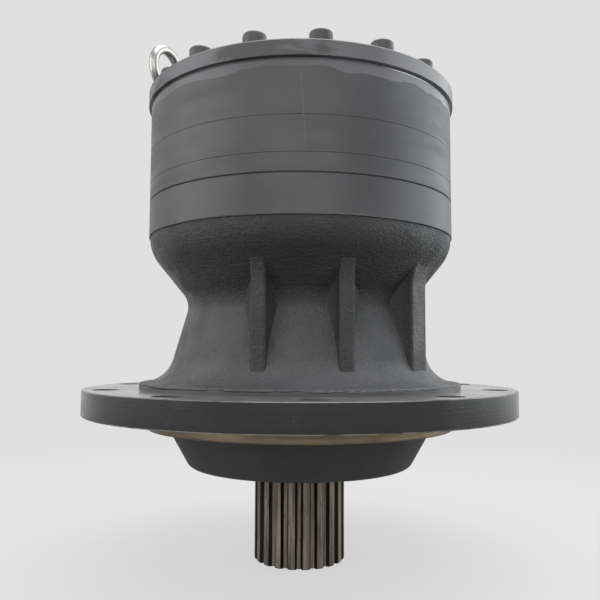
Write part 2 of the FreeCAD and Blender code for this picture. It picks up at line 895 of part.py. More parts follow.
def bearing_cage():
    """The conical pressed cage with a pocket for each roller."""
    near = roller_middle - roller_length / 2 - cage_overhang
    far = roller_middle + roller_length / 2 + cage_overhang
    shell = turned([
        on_roller(near, cage_offset),
        on_roller(near, cage_offset + cage_thickness),
        on_roller(far, cage_offset + cage_thickness),
        on_roller(far, cage_offset),
    ])
    return cut_all(shell, round_the_axis(roller(-cage_pocket_gap), roller_angles))


def lower_place(shape):
    """A bearing part moved to the lower seat, thick cup end down."""
    shape = shape.copy()
    shape.translate(UP * lower_cup_z)
    return shape


def upper_place(shape):
    """A bearing part turned over and moved to the upper seat, thick cup end up."""
    shape = shape.copy()
    shape.rotate(ORIGIN, FreeCAD.Vector(1, 0, 0), 180)
    shape.translate(UP * upper_cup_z)
    return shape


def make_retainer():
    """The ring bolted to the chamber floor, whose spigot holds the upper cup down."""
    seat = chamber_floor + shim_thickness
    top = seat + retainer_thickness
    body = turned([
        (retainer_bore, upper_cup_z),
        (bearing_outside - retainer_spigot_gap, upper_cup_z),
        (bearing_outside - retainer_spigot_gap, seat),
        (retainer_radius, seat),
        (retainer_radius, top, retainer_edge_round),
        (retainer_bore + retainer_bore_chamfer, top),
        (retainer_bore, top - retainer_bore_chamfer),
    ])
    hole = rod(retainer_screw_radius + small_hole_gap, seat - over, top + over, polar(retainer_ring, 0))
    return cut_all(body, round_the_axis(hole, retainer_angles))


def make_shim():
    """The shim under the retainer that sets the bearing preload."""
    top = chamber_floor + shim_thickness
    body = ring(retainer_radius, bearing_outside, chamber_floor, top)
    spot = polar(retainer_ring, 0)
    hole = rod(retainer_screw_radius + small_hole_gap, chamber_floor - over, top + over, spot)
    return cut_all(body, round_the_axis(hole, retainer_angles))


def make_retainer_screws():
    """The screws of the bearing retainer."""
    seat = chamber_floor + shim_thickness + retainer_thickness
    screw = cap_screw(seat, retainer_head_radius, retainer_head_height, small_head_round,
                      retainer_screw_radius, retainer_screw_length, retainer_key, retainer_key_depth)
    screw.translate(polar(retainer_ring, 0))
    return round_the_axis(screw, retainer_angles)


def make_oil_seal():
    """The rotary shaft seal: rim in the pocket, web, sealing lip and dust lip on the journal."""
    bottom = -boss_depth + seal_end_gap
    top = bottom + seal_pocket_depth - 2 * seal_end_gap
    web_top = bottom + seal_web
    lip_top = top - seal_top_step
    lip = seal_journal_radius + seal_lip_gap
    return turned([
        (seal_pocket_radius - press_gap, bottom),
        (seal_pocket_radius - press_gap, top),
        (seal_pocket_radius - seal_case, top),
        (seal_pocket_radius - seal_case, web_top),
        (lip + seal_lip_width, web_top),
        (lip + seal_lip_width, lip_top),
        (lip + seal_edge, lip_top),
        (lip, lip_top - seal_main_slope),
        (lip + seal_hollow, web_top),
        (lip, bottom + seal_dust_slope),
        (lip + seal_edge, bottom),
    ])


def make_drain_plug():
    """The hexagon socket drain plug with its flanged head."""
    seat = drain_boss_reach + drain_washer
    shank = drain_bar(drain_radius, seat - drain_length, seat)
    head = drain_bar(drain_head_radius, seat, seat + drain_head_height)
    key = hexagon(drain_key, -drain_key_depth, over)
    key.rotate(ORIGIN, FreeCAD.Vector(1, 0, 0), -90)
    key.translate(polar(seat + drain_head_height, drain_angle, drain_height))
    return whole(shank.fuse(head).removeSplitter().cut(key))


def make_drain_washer():
    """The sealing washer under the drain plug's head."""
    seat = drain_boss_reach + drain_washer
    disc = drain_bar(drain_head_radius + drain_washer_rim, drain_boss_reach, seat)
    hole = drain_bar(drain_radius + drain_washer_gap, drain_boss_reach - over, seat + over)
    return whole(disc.cut(hole))


def make_output_shaft():
    """The output shaft: lower spline, seal journal, bearing seats either side of a collar, upper spline."""
    end = end_plate_z - shaft_top_gap
    upper_root = upper_spline_radius - spline_root_share * spline_module
    seat = bearing_bore - press_gap
    core = turned([
        (0, spline_top),
        (lower_spline_radius - spline_tip_share * spline_module, spline_top),
        (seal_journal_radius, spline_top + journal_slope),
        (seal_journal_radius, lower_cup_z - journal_shoulder),
        (seat, lower_cup_z),
        (seat, lower_cone_z),
        (shaft_collar_radius, lower_cone_z, shaft_collar_round),
        (shaft_collar_radius, upper_cone_z, shaft_collar_round),
        (seat, upper_cone_z),
        (seat, hub_z),
        (upper_root, hub_z),
        (upper_root, end),
        (0, end),
    ])
    lower = spline(lower_spline_radius, shaft_bottom, spline_top + over)
    nose = turned([
        (0, shaft_bottom),
        (lower_spline_radius - spline_end_chamfer, shaft_bottom),
        (lower_spline_radius, shaft_bottom + spline_end_chamfer),
        (lower_spline_radius, spline_top + over),
        (0, spline_top + over),
    ])
    upper = spline(upper_spline_radius, hub_z - over, end)
    shaft = whole(core.multiFuse([lower.common(nose), upper]).removeSplitter())
    depth = end_screw_length - end_plate_thickness + end_head_sunk + tap_run_out
    tap = rod(end_screw_radius + tap_allowance, end - depth, end + over, polar(end_screw_ring, 0))
    return cut_all(shaft, round_the_axis(tap, end_screw_angles))


def make_end_plate():
    """The plate that clamps the second carrier on the shaft."""
    body = make_pad(end_plate_radius, end_plate_z, end_plate_top)
    spot = polar(end_screw_ring, 0)
    hole = rod(end_screw_radius + small_hole_gap, end_plate_z - over, end_plate_top + over, spot)
    sink = rod(end_head_radius + end_head_gap, end_plate_top - end_head_sunk, end_plate_top + over, spot)
    return cut_all(body, round_the_axis(hole.fuse(sink), end_screw_angles))


def make_end_screws():
    """The screws of the shaft end plate."""
    screw = cap_screw(end_plate_top - end_head_sunk, end_head_radius, end_head_height, small_head_round,
                      end_screw_radius, end_screw_length, end_key, end_key_depth)
    screw.translate(polar(end_screw_ring, 0))
    return round_the_axis(screw, end_screw_angles)


def make_second_carrier():
    """The one-piece carrier of the second stage: splined hub, floor, bridges and upper plate."""
    body = turned([
        (0, hub_z),
        (second_hub_radius, hub_z),
        (second_hub_radius, hub_step_z, second_hub_round),
        (second_carrier_radius - second_carrier_slope, hub_step_z),
        (second_carrier_radius, hub_step_z + second_carrier_slope),
        (second_carrier_radius, second_top - second_carrier_edge),
        (second_carrier_radius - second_carrier_edge, second_top),
        (0, second_top),
    ])
    spot = polar(second_centre, 0)
    tools = [spline(upper_spline_radius, hub_z - over, end_plate_z + over, spline_gap)]
    tools.append(rod(end_plate_radius + end_plate_gap, end_plate_z, second_floor - over))
    tools.append(rod(second_sun_tip + second_sun_gap, second_floor - 2 * over, second_top + over))
    planet_room = module * second_planet_teeth / 2 + addendum + second_window_gap
    tools += round_the_axis(rod(planet_room, second_floor, second_ceiling, spot), second_angles)
    seat = rod(second_pin_radius + press_gap, hub_step_z + second_pin_floor, second_top + over, spot)
    tools += round_the_axis(seat, second_angles)
    tools += round_the_axis(second_lock(second_lock_radius + press_gap, second_lock_run_out), second_angles)
    return cut_all(body, tools)


def second_lock(radius, longer=0.0):
    """A radial spring pin through the carrier's floor and a planet pin, at the front."""
    height = (hub_step_z + second_pin_floor + second_floor) / 2
    start = second_centre - second_pin_radius - second_lock_past
    length = second_carrier_radius - second_lock_sunk - start + longer
    return Part.makeCylinder(radius, length, polar(start, 0, height), polar(1, 0))


def make_second_pins():
    """The planet pins of the second stage, cross-drilled for their spring pins."""
    bottom = hub_step_z + second_pin_floor
    pin = rod(second_pin_radius, bottom, second_top - second_pin_sunk, polar(second_centre, 0))
    pin = whole(pin.cut(second_lock(second_lock_radius + press_gap, second_lock_run_out)))
    return round_the_axis(pin, second_angles)


def make_second_locks():
    """The spring pins that lock the planet pins."""
    return round_the_axis(second_lock(second_lock_radius), second_angles)


def washers(pin_radius, centre, heights, angles):
    """Bronze thrust washers round the pins, each with its lower face at one of the heights."""
    stack = []
    for height in heights:
        disc = ring(pin_radius + washer_rim, pin_radius + washer_gap, height, height + washer_thickness)
        disc.translate(polar(centre, 0))
        stack += round_the_axis(disc, angles)
    return stack


def make_planet(teeth, angle, centre, bore, bottom, top):
    """A planet gear in mesh with its ring gear, bored for its bush."""
    blank = gear(teeth, planet_phase(angle, teeth), bottom, top)
    blank = whole(blank.cut(rod(bore, bottom - over, top + over)))
    blank.translate(polar(centre, angle))
    return blank


def make_bush(angle, centre, pin_radius, wall, bottom, top):
    """The bronze bush pressed into a planet, running on its pin."""
    body = ring(pin_radius + wall - press_gap, pin_radius + running_gap, bottom, top)
    body.translate(polar(centre, angle))
    return body


def make_pad(radius, bottom, top):
    """A round thrust pad on the shaft axis."""
    edge = radius - pad_edge
    return turned([(0, bottom), (radius, bottom), (radius, top - pad_edge), (edge, top), (0, top)])


def make_second_sun():
    """The second sun gear, long enough to carry the first carrier, with its snap ring groove."""
    phase = sun_phase(second_phase, second_planet_teeth, second_sun_teeth)
    body = gear(second_sun_teeth, phase, second_sun_z, second_sun_top)
    groove = ring(second_sun_tip + over, second_sun_tip - snap_groove_depth, snap_ring_z - groove_gap,
                  snap_ring_z + snap_ring_thickness + groove_gap)
    return cut_all(body, [groove, rod(sun_bore, second_sun_z - over, second_sun_top + over)])


def make_snap_ring():
    """The open snap ring in the second sun gear, on which the first carrier rests."""
    inside = second_sun_tip - snap_groove_depth + groove_gap
    body = ring(snap_ring_radius, inside, snap_ring_z, snap_ring_z + snap_ring_thickness)
    gap = Part.makeBox(snap_ring_radius + over, snap_ring_opening, snap_ring_thickness + 2 * over,
                       FreeCAD.Vector(0, -snap_ring_opening / 2, snap_ring_z - over))
    return whole(body.cut(gap))


def make_first_carrier():
    """The first carrier: a disc driven by the sun's teeth, with pin seats and oil windows."""
    body = ring(first_carrier_radius, sun_bore, first_floor, first_carrier_top, first_disc_edge)
    phase = sun_phase(second_phase, second_planet_teeth, second_sun_teeth)
    low = first_floor - over
    high = first_carrier_top + over
    tools = [gear(second_sun_teeth, phase, low, high, spline_gap)]
    seat = rod(first_pin_radius + press_gap, low, high, polar(first_centre, 0))
    tools += round_the_axis(seat, first_angles)
    window = rod(first_window_radius, low, high, polar(first_window_ring, 0))
    tools += round_the_axis(window, [angle + 180 / first_planets for angle in first_angles])
    return cut_all(body, tools)


def make_first_pins():
    """The planet pins of the first stage, pressed into the carrier and grooved for circlips."""
    neck = first_pin_radius - circlip_groove
    pin = turned([
        (0, first_floor),
        (first_pin_radius, first_floor),
        (first_pin_radius, circlip_z - groove_gap),
        (neck, circlip_z - groove_gap),
        (neck, circlip_z + circlip_thickness + groove_gap),
        (first_pin_radius, circlip_z + circlip_thickness + groove_gap),
        (first_pin_radius - first_pin_chamfer, first_pin_top),
        (0, first_pin_top),
    ])
    pin.translate(polar(first_centre, 0))
    return round_the_axis(pin, first_angles)


def make_circlips():
    """The open circlips that hold the first planets on their pins."""
    neck = first_pin_radius - circlip_groove
    body = ring(neck + circlip_wall, neck + groove_gap, circlip_z, circlip_z + circlip_thickness)
    half = math.radians(circlip_opening / 2)
    reach = 2 * (neck + circlip_wall)
    low = circlip_z - over
    wedge = Part.makePolygon([
        FreeCAD.Vector(0, 0, low),
        FreeCAD.Vector(reach * math.cos(half), -reach * math.sin(half), low),
        FreeCAD.Vector(reach * math.cos(half), reach * math.sin(half), low),
        FreeCAD.Vector(0, 0, low),
    ])
    clip = whole(body.cut(Part.Face(wedge).extrude(UP * (circlip_thickness + 2 * over))))
    clip.translate(polar(first_centre, 0))
    return round_the_axis(clip, first_angles)


def make_input_sun():
    """The input sun gear with the splined socket for the motor shaft."""
    phase = sun_phase(first_phase, first_planet_teeth, first_sun_teeth)
    body = gear(first_sun_teeth, phase, input_sun_z, input_sun_top)
    socket = spline(socket_radius, input_sun_z - over, input_sun_top + over, 0.0, socket_teeth, socket_module)
    return whole(body.cut(socket))


def all_parts():
    """Every node by name."""
    parts = {
        "housing": make_housing(),
        "lower_ring_gear": make_ring_gear(housing_height, witness_height, joint_chamfer, seam_chamfer),
        "upper_ring_gear": make_ring_gear(seam_one, edge_line_height, seam_chamfer, joint_chamfer),
        "cover": make_cover(),
        "cover_screws": make_cover_screws(),
        "locating_dowels": make_dowels(),
        "eye_bolt": make_eye_bolt(),
        "lower_bearing_cup": lower_place(bearing_cup()),
        "lower_bearing_cone": lower_place(bearing_cone()),
        "lower_bearing_rollers": [lower_place(body) for body in bearing_rollers()],
        "lower_bearing_cage": lower_place(bearing_cage()),
        "upper_bearing_cup": upper_place(bearing_cup()),
        "upper_bearing_cone": upper_place(bearing_cone()),
        "upper_bearing_rollers": [upper_place(body) for body in bearing_rollers()],
        "upper_bearing_cage": upper_place(bearing_cage()),
        "bearing_retainer": make_retainer(),
        "retainer_shim": make_shim(),
        "retainer_screws": make_retainer_screws(),
        "oil_seal": make_oil_seal(),
        "drain_plug": make_drain_plug(),
        "drain_washer": make_drain_washer(),
        "output_shaft": make_output_shaft(),
        "shaft_end_plate": make_end_plate(),
        "end_plate_screws": make_end_screws(),
        "second_carrier": make_second_carrier(),
        "second_planet_pins": make_second_pins(),
        "second_pin_locks": make_second_locks(),
        "second_thrust_washers": washers(second_pin_radius, second_centre,
                                         (second_floor, second_planet_top + axial_play), second_angles),
        "second_sun_thrust_pad": make_pad(small_pad_radius, end_plate_top, second_sun_z - axial_play),
        "second_sun_gear": make_second_sun(),
        "sun_snap_ring": make_snap_ring(),
        "first_carrier": make_first_carrier(),
        "first_planet_pins": make_first_pins(),
        "first_pin_circlips": make_circlips(),
        "first_thrust_washers": washers(first_pin_radius, first_centre,
                                        (first_carrier_top, first_planet_top + axial_play), first_angles),
        "input_sun_thrust_pad": make_pad(pad_radius, second_sun_top, input_sun_z - axial_play),
        "input_sun_gear": make_input_sun(),
    }
    for k, angle in enumerate(second_angles, 1):
        bore = second_pin_radius + second_bush_wall
        parts[f"second_planet_{k}"] = make_planet(second_planet_teeth, angle, second_centre, bore,
                                                  second_planet_z, second_planet_top)
        parts[f"second_planet_bush_{k}"] = make_bush(angle, second_centre, second_pin_radius,
                                                     second_bush_wall, second_planet_z, second_planet_top)
    for k, angle in enumerate(first_angles, 1):
        bore = first_pin_radius + first_bush_wall
        parts[f"first_planet_{k}"] = make_planet(first_planet_teeth, angle, first_centre, bore,
                                                 first_planet_z, first_planet_top)
        parts[f"first_planet_bush_{k}"] = make_bush(angle, first_centre, first_pin_radius, first_bush_wall,
                                                    first_planet_z, first_planet_top)
    return parts


os.makedirs("parts", exist_ok=True)
for name, shape in all_parts().items():
    if isinstance(shape, list):
        shape = Part.makeCompound(shape)
    shape.exportStep(f"parts/{name}.step")
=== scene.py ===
import json
import math

import bmesh
import bpy
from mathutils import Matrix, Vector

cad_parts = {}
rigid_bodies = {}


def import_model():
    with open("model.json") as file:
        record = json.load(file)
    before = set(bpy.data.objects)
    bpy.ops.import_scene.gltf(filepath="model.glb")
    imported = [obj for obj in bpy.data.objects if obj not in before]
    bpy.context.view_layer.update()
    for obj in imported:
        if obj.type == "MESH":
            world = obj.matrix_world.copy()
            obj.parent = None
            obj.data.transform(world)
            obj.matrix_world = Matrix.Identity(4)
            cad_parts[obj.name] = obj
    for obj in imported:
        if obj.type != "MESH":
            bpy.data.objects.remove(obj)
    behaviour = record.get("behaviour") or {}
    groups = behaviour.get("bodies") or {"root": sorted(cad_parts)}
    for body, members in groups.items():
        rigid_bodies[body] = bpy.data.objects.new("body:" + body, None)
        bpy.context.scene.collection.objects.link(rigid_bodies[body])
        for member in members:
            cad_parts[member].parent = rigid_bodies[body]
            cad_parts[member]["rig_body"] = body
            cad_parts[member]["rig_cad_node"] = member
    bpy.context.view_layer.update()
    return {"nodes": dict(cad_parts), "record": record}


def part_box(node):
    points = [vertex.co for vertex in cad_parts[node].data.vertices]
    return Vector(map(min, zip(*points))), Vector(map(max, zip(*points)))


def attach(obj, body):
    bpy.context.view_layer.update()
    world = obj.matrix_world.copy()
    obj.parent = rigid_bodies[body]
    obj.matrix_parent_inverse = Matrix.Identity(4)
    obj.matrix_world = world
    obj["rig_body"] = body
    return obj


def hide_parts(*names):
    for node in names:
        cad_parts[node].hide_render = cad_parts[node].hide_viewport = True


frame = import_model()

bl_info = {
    "name": "Swing Gearbox Finish",
    "version": (1, 0, 0),
    "blender": (4, 2, 0),
    "location": "View3D > Sidebar > Gearbox",
    "description": "Paints and finishes a flanged planetary swing gearbox and sets it on a studio floor",
    "category": "Object",
}

# Heights and radii in metres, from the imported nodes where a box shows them
ring_low, ring_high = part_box("lower_ring_gear")
BAND_HEIGHT = 0.0365
BAND_BOTTOM = ring_low[2] - BAND_HEIGHT
UPPER_RING_TOP = 2.0 * ring_high[2] - ring_low[2]
COVER_TOP = 0.332
FLANGE_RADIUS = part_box("housing")[1][0]
FLANGE_TOP = 0.025
FOOT_TOP = 0.031
PILOT_RADIUS = 0.160
PILOT_BOTTOM = -0.015
SPLINE_LENGTH = 0.089
FLOOR_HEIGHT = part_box("output_shaft")[0][2]

# How near a face, edge or point has to lie to the place by which it is chosen
NEAR = 0.0001

# Cap screw: rounds of the head's top and foot, chamfer of the point, depth and turn of the key socket
HEAD_TOP_ROUND = 0.0026
HEAD_FOOT_ROUND = 0.0005
POINT_CHAMFER = 0.0012
KEY_DEPTH = 0.008
KEY_TURN = 0.4

# Eye bolt: shank, steps of the stem above it, and the stretch of the loop's foot into the neck.
# A step has its width as a share of the one below, and its rise.
EYE_SHANK_RADIUS = 0.006
EYE_SHANK_LENGTH = 0.013
EYE_STEM_STEPS = ((2.1, 0.0), (1.0, 0.0045), (0.94, 0.0012), (0.66, 0.0008), (0.85, 0.003))
LOOP_FOOT_START = 0.62
LOOP_FOOT_STRETCH = 1.18

# Spline: points round a tooth, where flank and root begin and end as shares of the pitch from a tooth's
# middle, the flank's bulge, and how far above the spline's top the seats are cut and the teeth run up
POINTS_PER_TOOTH = 14
FLANK_START = 0.25
ROOT_START = 0.32
ROOT_END = 0.51
FLANK_BULGE = 0.0003
SEAT_CUT = 0.0004
TEETH_RUN_IN = 0.002

# Centre hole in the shaft's end, and how far the cone that cuts it stands out
CENTRE_HOLE_RADIUS = 0.0075
CENTRE_HOLE_DEPTH = 0.010
TOOL_STANDOUT = 0.001

# Hair scratch down the rings: its place at the flange, its lean, wander and ends
SCRATCH_PLACE = 0.0187
SCRATCH_LEAN = -0.064
SCRATCH_WANDER = 0.0016
SCRATCH_LOW = 0.24
SCRATCH_HIGH = 0.308

# Paint: how much lighter a rubbed or painted-lit place is, the band of painted light under the cover and the
# painted glint over it, the wave of the cast skin's edge, and the share of dust on level faces
RUBBED_OR_LIT_LIFT = 2.6
LIT_BAND_HEIGHT = 0.0095
LIT_BAND_WAVE = 0.0035
GLINT_COLOUR = (0.9, 0.92, 0.95)
SKIN_WAVE = 0.0011
THIN_DUST = 0.16
THICK_DUST = 0.32

# Floor: its grey as a share of the backdrop's, and the rings in which shade and reflection fade
FLOOR_GREY = 0.84
SHADE_START = 0.25
SHADE_END = 1.1
SHADED_GLOW = 0.78
MIRROR_START = 0.5
MIRROR_END = 2.2

# Width of the camera's sensor in millimetres
SENSOR_WIDTH = 36.0


class PaintLook(bpy.types.PropertyGroup):
    """Colours and gloss of the charcoal paint."""

    colour: bpy.props.FloatVectorProperty(
        name="Paint colour", description="Charcoal of the turned surfaces", subtype="COLOR",
        size=3, min=0.0, max=1.0, default=(0.064, 0.064, 0.068))
    cast_colour: bpy.props.FloatVectorProperty(
        name="Cast colour", description="Charcoal where the paint lies on the sand-cast skin",
        subtype="COLOR", size=3, min=0.0, max=1.0, default=(0.030, 0.030, 0.031))
    # Painted light: a lighter, bluish copy of the cast charcoal on faces that turn up towards the lamps
    lit_cast_colour: bpy.props.FloatVectorProperty(
        name="Dusty cast colour", description="Where fine dust greys the upward slopes of the casting",
        subtype="COLOR", size=3, min=0.0, max=1.0, default=(0.105, 0.107, 0.112))
    rim_colour: bpy.props.FloatVectorProperty(
        name="Rim colour", description="Thicker, blacker paint on the flange's rim", subtype="COLOR",
        size=3, min=0.0, max=1.0, default=(0.015, 0.015, 0.015))
    dust_colour: bpy.props.FloatVectorProperty(
        name="Dust colour", description="Fine dust that settles on the level surfaces", subtype="COLOR",
        size=3, min=0.0, max=1.0, default=(0.34, 0.30, 0.26))
    roughness: bpy.props.FloatProperty(
        name="Roughness", description="Roughness of the turned paint", min=0.0, max=1.0, default=0.42)
    grain_depth: bpy.props.FloatProperty(
        name="Grain depth", description="Height of the cast grain under the paint", subtype="DISTANCE",
        unit="LENGTH", min=0.0, max=0.002, default=0.00055)


class SteelLook(bpy.types.PropertyGroup):
    """Colours of the bare metals."""

    shaft_colour: bpy.props.FloatVectorProperty(
        name="Shaft colour", description="Stained steel of the splined shaft end", subtype="COLOR",
        size=3, min=0.0, max=1.0, default=(0.29, 0.245, 0.198))
    # Also painted shade: the spline's flanks between the teeth take this near-black
    stain_and_shade_colour: bpy.props.FloatVectorProperty(
        name="Oil stain", description="Old oil on the flanks and in the pits of the spline", subtype="COLOR",
        size=3, min=0.0, max=1.0, default=(0.010, 0.008, 0.007))
    pilot_colour: bpy.props.FloatVectorProperty(
        name="Pilot colour", description="Unpainted turned iron of the pilot", subtype="COLOR",
        size=3, min=0.0, max=1.0, default=(0.36, 0.285, 0.19))
    zinc_colour: bpy.props.FloatVectorProperty(
        name="Zinc colour", description="Bright plating of the eye bolt", subtype="COLOR",
        size=3, min=0.0, max=1.0, default=(0.50, 0.49, 0.46))
    gear_colour: bpy.props.FloatVectorProperty(
        name="Gear colour", description="Hardened and ground gear steel", subtype="COLOR",
        size=3, min=0.0, max=1.0, default=(0.42, 0.42, 0.43))
    bronze_colour: bpy.props.FloatVectorProperty(
        name="Bronze colour", description="Bushes and thrust washers", subtype="COLOR",
        size=3, min=0.0, max=1.0, default=(0.55, 0.36, 0.16))


class FastenerSizes(bpy.types.PropertyGroup):
    """Sizes of the cover screws and the lifting eye bolt."""

    screw_count: bpy.props.IntProperty(
        name="Screws", description="Cap screws round the cover", min=3, default=15)
    screw_phase: bpy.props.FloatProperty(
        name="First screw", description="From the front, anticlockwise seen from above", subtype="ANGLE",
        unit="ROTATION", default=math.radians(7.1))
    screw_ring: bpy.props.FloatProperty(
        name="Screw circle", description="Radius of the circle of screws", subtype="DISTANCE", unit="LENGTH",
        min=0.01, default=0.1441)
    head_radius: bpy.props.FloatProperty(
        name="Head radius", description="Radius of a screw head", subtype="DISTANCE", unit="LENGTH",
        min=0.001, default=0.0108)
    head_height: bpy.props.FloatProperty(
        name="Head height", description="Height of a screw head", subtype="DISTANCE", unit="LENGTH",
        min=0.001, default=0.0140)
    key_width: bpy.props.FloatProperty(
        name="Key width", description="Across the flats of the socket", subtype="DISTANCE", unit="LENGTH",
        min=0.001, default=0.012)
    screw_radius: bpy.props.FloatProperty(
        name="Shank radius", description="Radius of a screw's shank", subtype="DISTANCE", unit="LENGTH",
        min=0.001, default=0.007)
    screw_length: bpy.props.FloatProperty(
        name="Screw length", description="Under the head, through cover and ring gears", subtype="DISTANCE",
        unit="LENGTH", min=0.001, default=0.142)
    eye_angle: bpy.props.FloatProperty(
        name="Eye bolt place", description="From the front, anticlockwise seen from above", subtype="ANGLE",
        unit="ROTATION", default=math.radians(-77.5))
    eye_ring: bpy.props.FloatProperty(
        name="Eye bolt circle", description="Distance of the eye bolt from the shaft axis",
        subtype="DISTANCE", unit="LENGTH", min=0.01, default=0.146)
    eye_turn: bpy.props.FloatProperty(
        name="Eye turn", description="Turn of the loop out of the view", subtype="ANGLE", unit="ROTATION",
        default=math.radians(62.0))
    loop_radius: bpy.props.FloatProperty(
        name="Loop radius", description="From the loop's middle to the middle of its bar", subtype="DISTANCE",
        unit="LENGTH", min=0.001, default=0.020)
    bar_radius: bpy.props.FloatProperty(
        name="Bar radius", description="Radius of the loop's bar", subtype="DISTANCE", unit="LENGTH",
        min=0.001, default=0.005)
    eye_height: bpy.props.FloatProperty(
        name="Eye height", description="From the cover to the loop's top", subtype="DISTANCE", unit="LENGTH",
        min=0.001, default=0.0526)


class SplineSizes(bpy.types.PropertyGroup):
    """Sizes of the output spline."""

    teeth: bpy.props.IntProperty(name="Teeth", description="Teeth of the output spline", min=6, default=20)
    phase: bpy.props.FloatProperty(
        name="First tooth", description="From the front, anticlockwise seen from above", subtype="ANGLE",
        unit="ROTATION", default=math.radians(8.5))
    tip_radius: bpy.props.FloatProperty(
        name="Tip radius", description="Over the teeth", subtype="DISTANCE", unit="LENGTH", min=0.001,
        default=0.0468)
    root_radius: bpy.props.FloatProperty(
        name="Root radius", description="Between the teeth", subtype="DISTANCE", unit="LENGTH", min=0.001,
        default=0.0422)
    chamfer: bpy.props.FloatProperty(
        name="End chamfer", description="At the free end of the teeth", subtype="DISTANCE", unit="LENGTH",
        min=0.0, default=0.0012)


class StudioLook(bpy.types.PropertyGroup):
    """The floor, the lamps and the camera."""

    backdrop: bpy.props.FloatVectorProperty(
        name="Backdrop", description="Pale grey of floor and background as the camera sees it",
        subtype="COLOR", size=3, min=0.0, max=1.0, default=(0.745, 0.745, 0.745))
    floor_bounce: bpy.props.FloatVectorProperty(
        name="Floor bounce", description="Grey of the floor in the light that it throws back",
        subtype="COLOR", size=3, min=0.0, max=1.0, default=(0.21, 0.21, 0.21))
    left_power: bpy.props.FloatProperty(
        name="Left softbox", description="Power of the broad softbox on the left", subtype="POWER",
        unit="POWER", min=0.0, default=13.0)
    right_power: bpy.props.FloatProperty(
        name="Right softbox", description="Power of the cool softbox on the right", subtype="POWER",
        unit="POWER", min=0.0, default=17.0)
    top_power: bpy.props.FloatProperty(
        name="Overhead softbox", description="Power of the softbox overhead", subtype="POWER", unit="POWER",
        min=0.0, default=30.0)
    front_power: bpy.props.FloatProperty(
        name="Front softbox", description="Power of the weak softbox over the camera", subtype="POWER",
        unit="POWER", min=0.0, default=13.0)
    sky: bpy.props.FloatProperty(
        name="Sky", description="Strength of the even light from all round", min=0.0, max=2.0, default=1.3)
    floor_mirror: bpy.props.FloatProperty(
        name="Floor in reflections", description="Strength of the floor as glossy surfaces show it",
        min=0.0, max=1.0, default=0.3)
    front_mirror: bpy.props.FloatProperty(
        name="Front in reflections",
        description="Strength of the room behind the camera as glossy surfaces show it",
        min=0.0, max=1.0, default=0.55)
    back_mirror: bpy.props.FloatProperty(
        name="Back in reflections", description="Strength of the backdrop as glossy surfaces show it",
        min=0.0, max=1.0, default=1.0)
    camera_distance: bpy.props.FloatProperty(
        name="Camera distance", description="From the shaft axis", subtype="DISTANCE", unit="LENGTH",
        min=0.1, default=0.724)
    camera_height: bpy.props.FloatProperty(
        name="Camera height", description="Above the flange's lower face", subtype="DISTANCE", unit="LENGTH",
        default=0.0612)
    camera_pitch: bpy.props.FloatProperty(
        name="Camera pitch", description="Upwards from level", subtype="ANGLE", unit="ROTATION",
        default=0.078)
    camera_roll: bpy.props.FloatProperty(
        name="Camera roll", description="Small turn about the line of sight", subtype="ANGLE",
        unit="ROTATION", default=-0.0035)
    lens: bpy.props.FloatProperty(
        name="Lens", description="Focal length on a 36 mm sensor", subtype="DISTANCE_CAMERA", unit="CAMERA",
        min=1.0, default=40.46)


# Shader building


def fill(material, sockets, values):
    """Sets or links each input socket by name or number."""
    for key, value in values.items():
        if isinstance(value, bpy.types.NodeSocket):
            material.node_tree.links.new(value, sockets[key])
        else:
            sockets[key].default_value = value


def add(material, kind, values=None, **settings):
    """A new shader node with its settings made and its inputs filled."""
    node = material.node_tree.nodes.new(kind)
    for key, value in settings.items():
        setattr(node, key, value)
    fill(material, node.inputs, values or {})
    return node


def new_material(name, **values):
    """A material with a Principled shader, whose inputs take the given values."""
    material = bpy.data.materials.new(name)
    material.use_nodes = True
    shader = material.node_tree.nodes["Principled BSDF"]
    fill(material, shader.inputs, {key.replace("_", " "): value for key, value in values.items()})
    return material, shader


def place(material, scale=(1.0, 1.0, 1.0)):
    """Object coordinates, stretched as a pattern needs."""
    spot = add(material, "ShaderNodeTexCoord").outputs["Object"]
    if scale == (1.0, 1.0, 1.0):
        return spot
    return add(material, "ShaderNodeMapping", {"Vector": spot, "Scale": scale}).outputs[0]


def coordinates(material):
    """X, Y and Z of a point on the piece, each as a socket by its letter."""
    return add(material, "ShaderNodeSeparateXYZ", {"Vector": place(material)}).outputs


def axis_distance(material):
    """Distance from the shaft axis as a socket."""
    spot = coordinates(material)
    flat = add(material, "ShaderNodeCombineXYZ", {"X": spot["X"], "Y": spot["Y"]})
    return add(material, "ShaderNodeVectorMath", {0: flat.outputs[0]}, operation="LENGTH").outputs["Value"]


def ramp(material, value, low, high, start=0.0, end=1.0):
    """A smooth step of a value from low to high, clamped to the range start to end."""
    return add(material, "ShaderNodeMapRange",
               {"Value": value, "From Min": low, "From Max": high, "To Min": start, "To Max": end},
               interpolation_type="SMOOTHSTEP").outputs["Result"]


def math_node(material, operation, first, second=0.0):
    """One arithmetic step."""
    return add(material, "ShaderNodeMath", {0: first, 1: second}, operation=operation).outputs[0]


def between(material, value, low, high, soft):
    """A mask that is 1 between two limits, with soft edges."""
    rise = ramp(material, value, low - soft, low + soft)
    fall = ramp(material, value, high - soft, high + soft, 1.0, 0.0)
    return product(material, rise, fall)


def noise(material, vector, scale, detail=3.0, roughness=0.55, distortion=0.0):
    """A noise value about 0.5."""
    return add(material, "ShaderNodeTexNoise",
               {"Vector": vector, "Scale": scale, "Detail": detail, "Roughness": roughness,
                "Distortion": distortion}).outputs["Fac"]


def blend(material, factor, first, second):
    """A mix of two colours."""
    node = add(material, "ShaderNodeMix", data_type="RGBA")
    fill(material, node.inputs, {0: factor, 6: first, 7: second})
    return node.outputs[2]


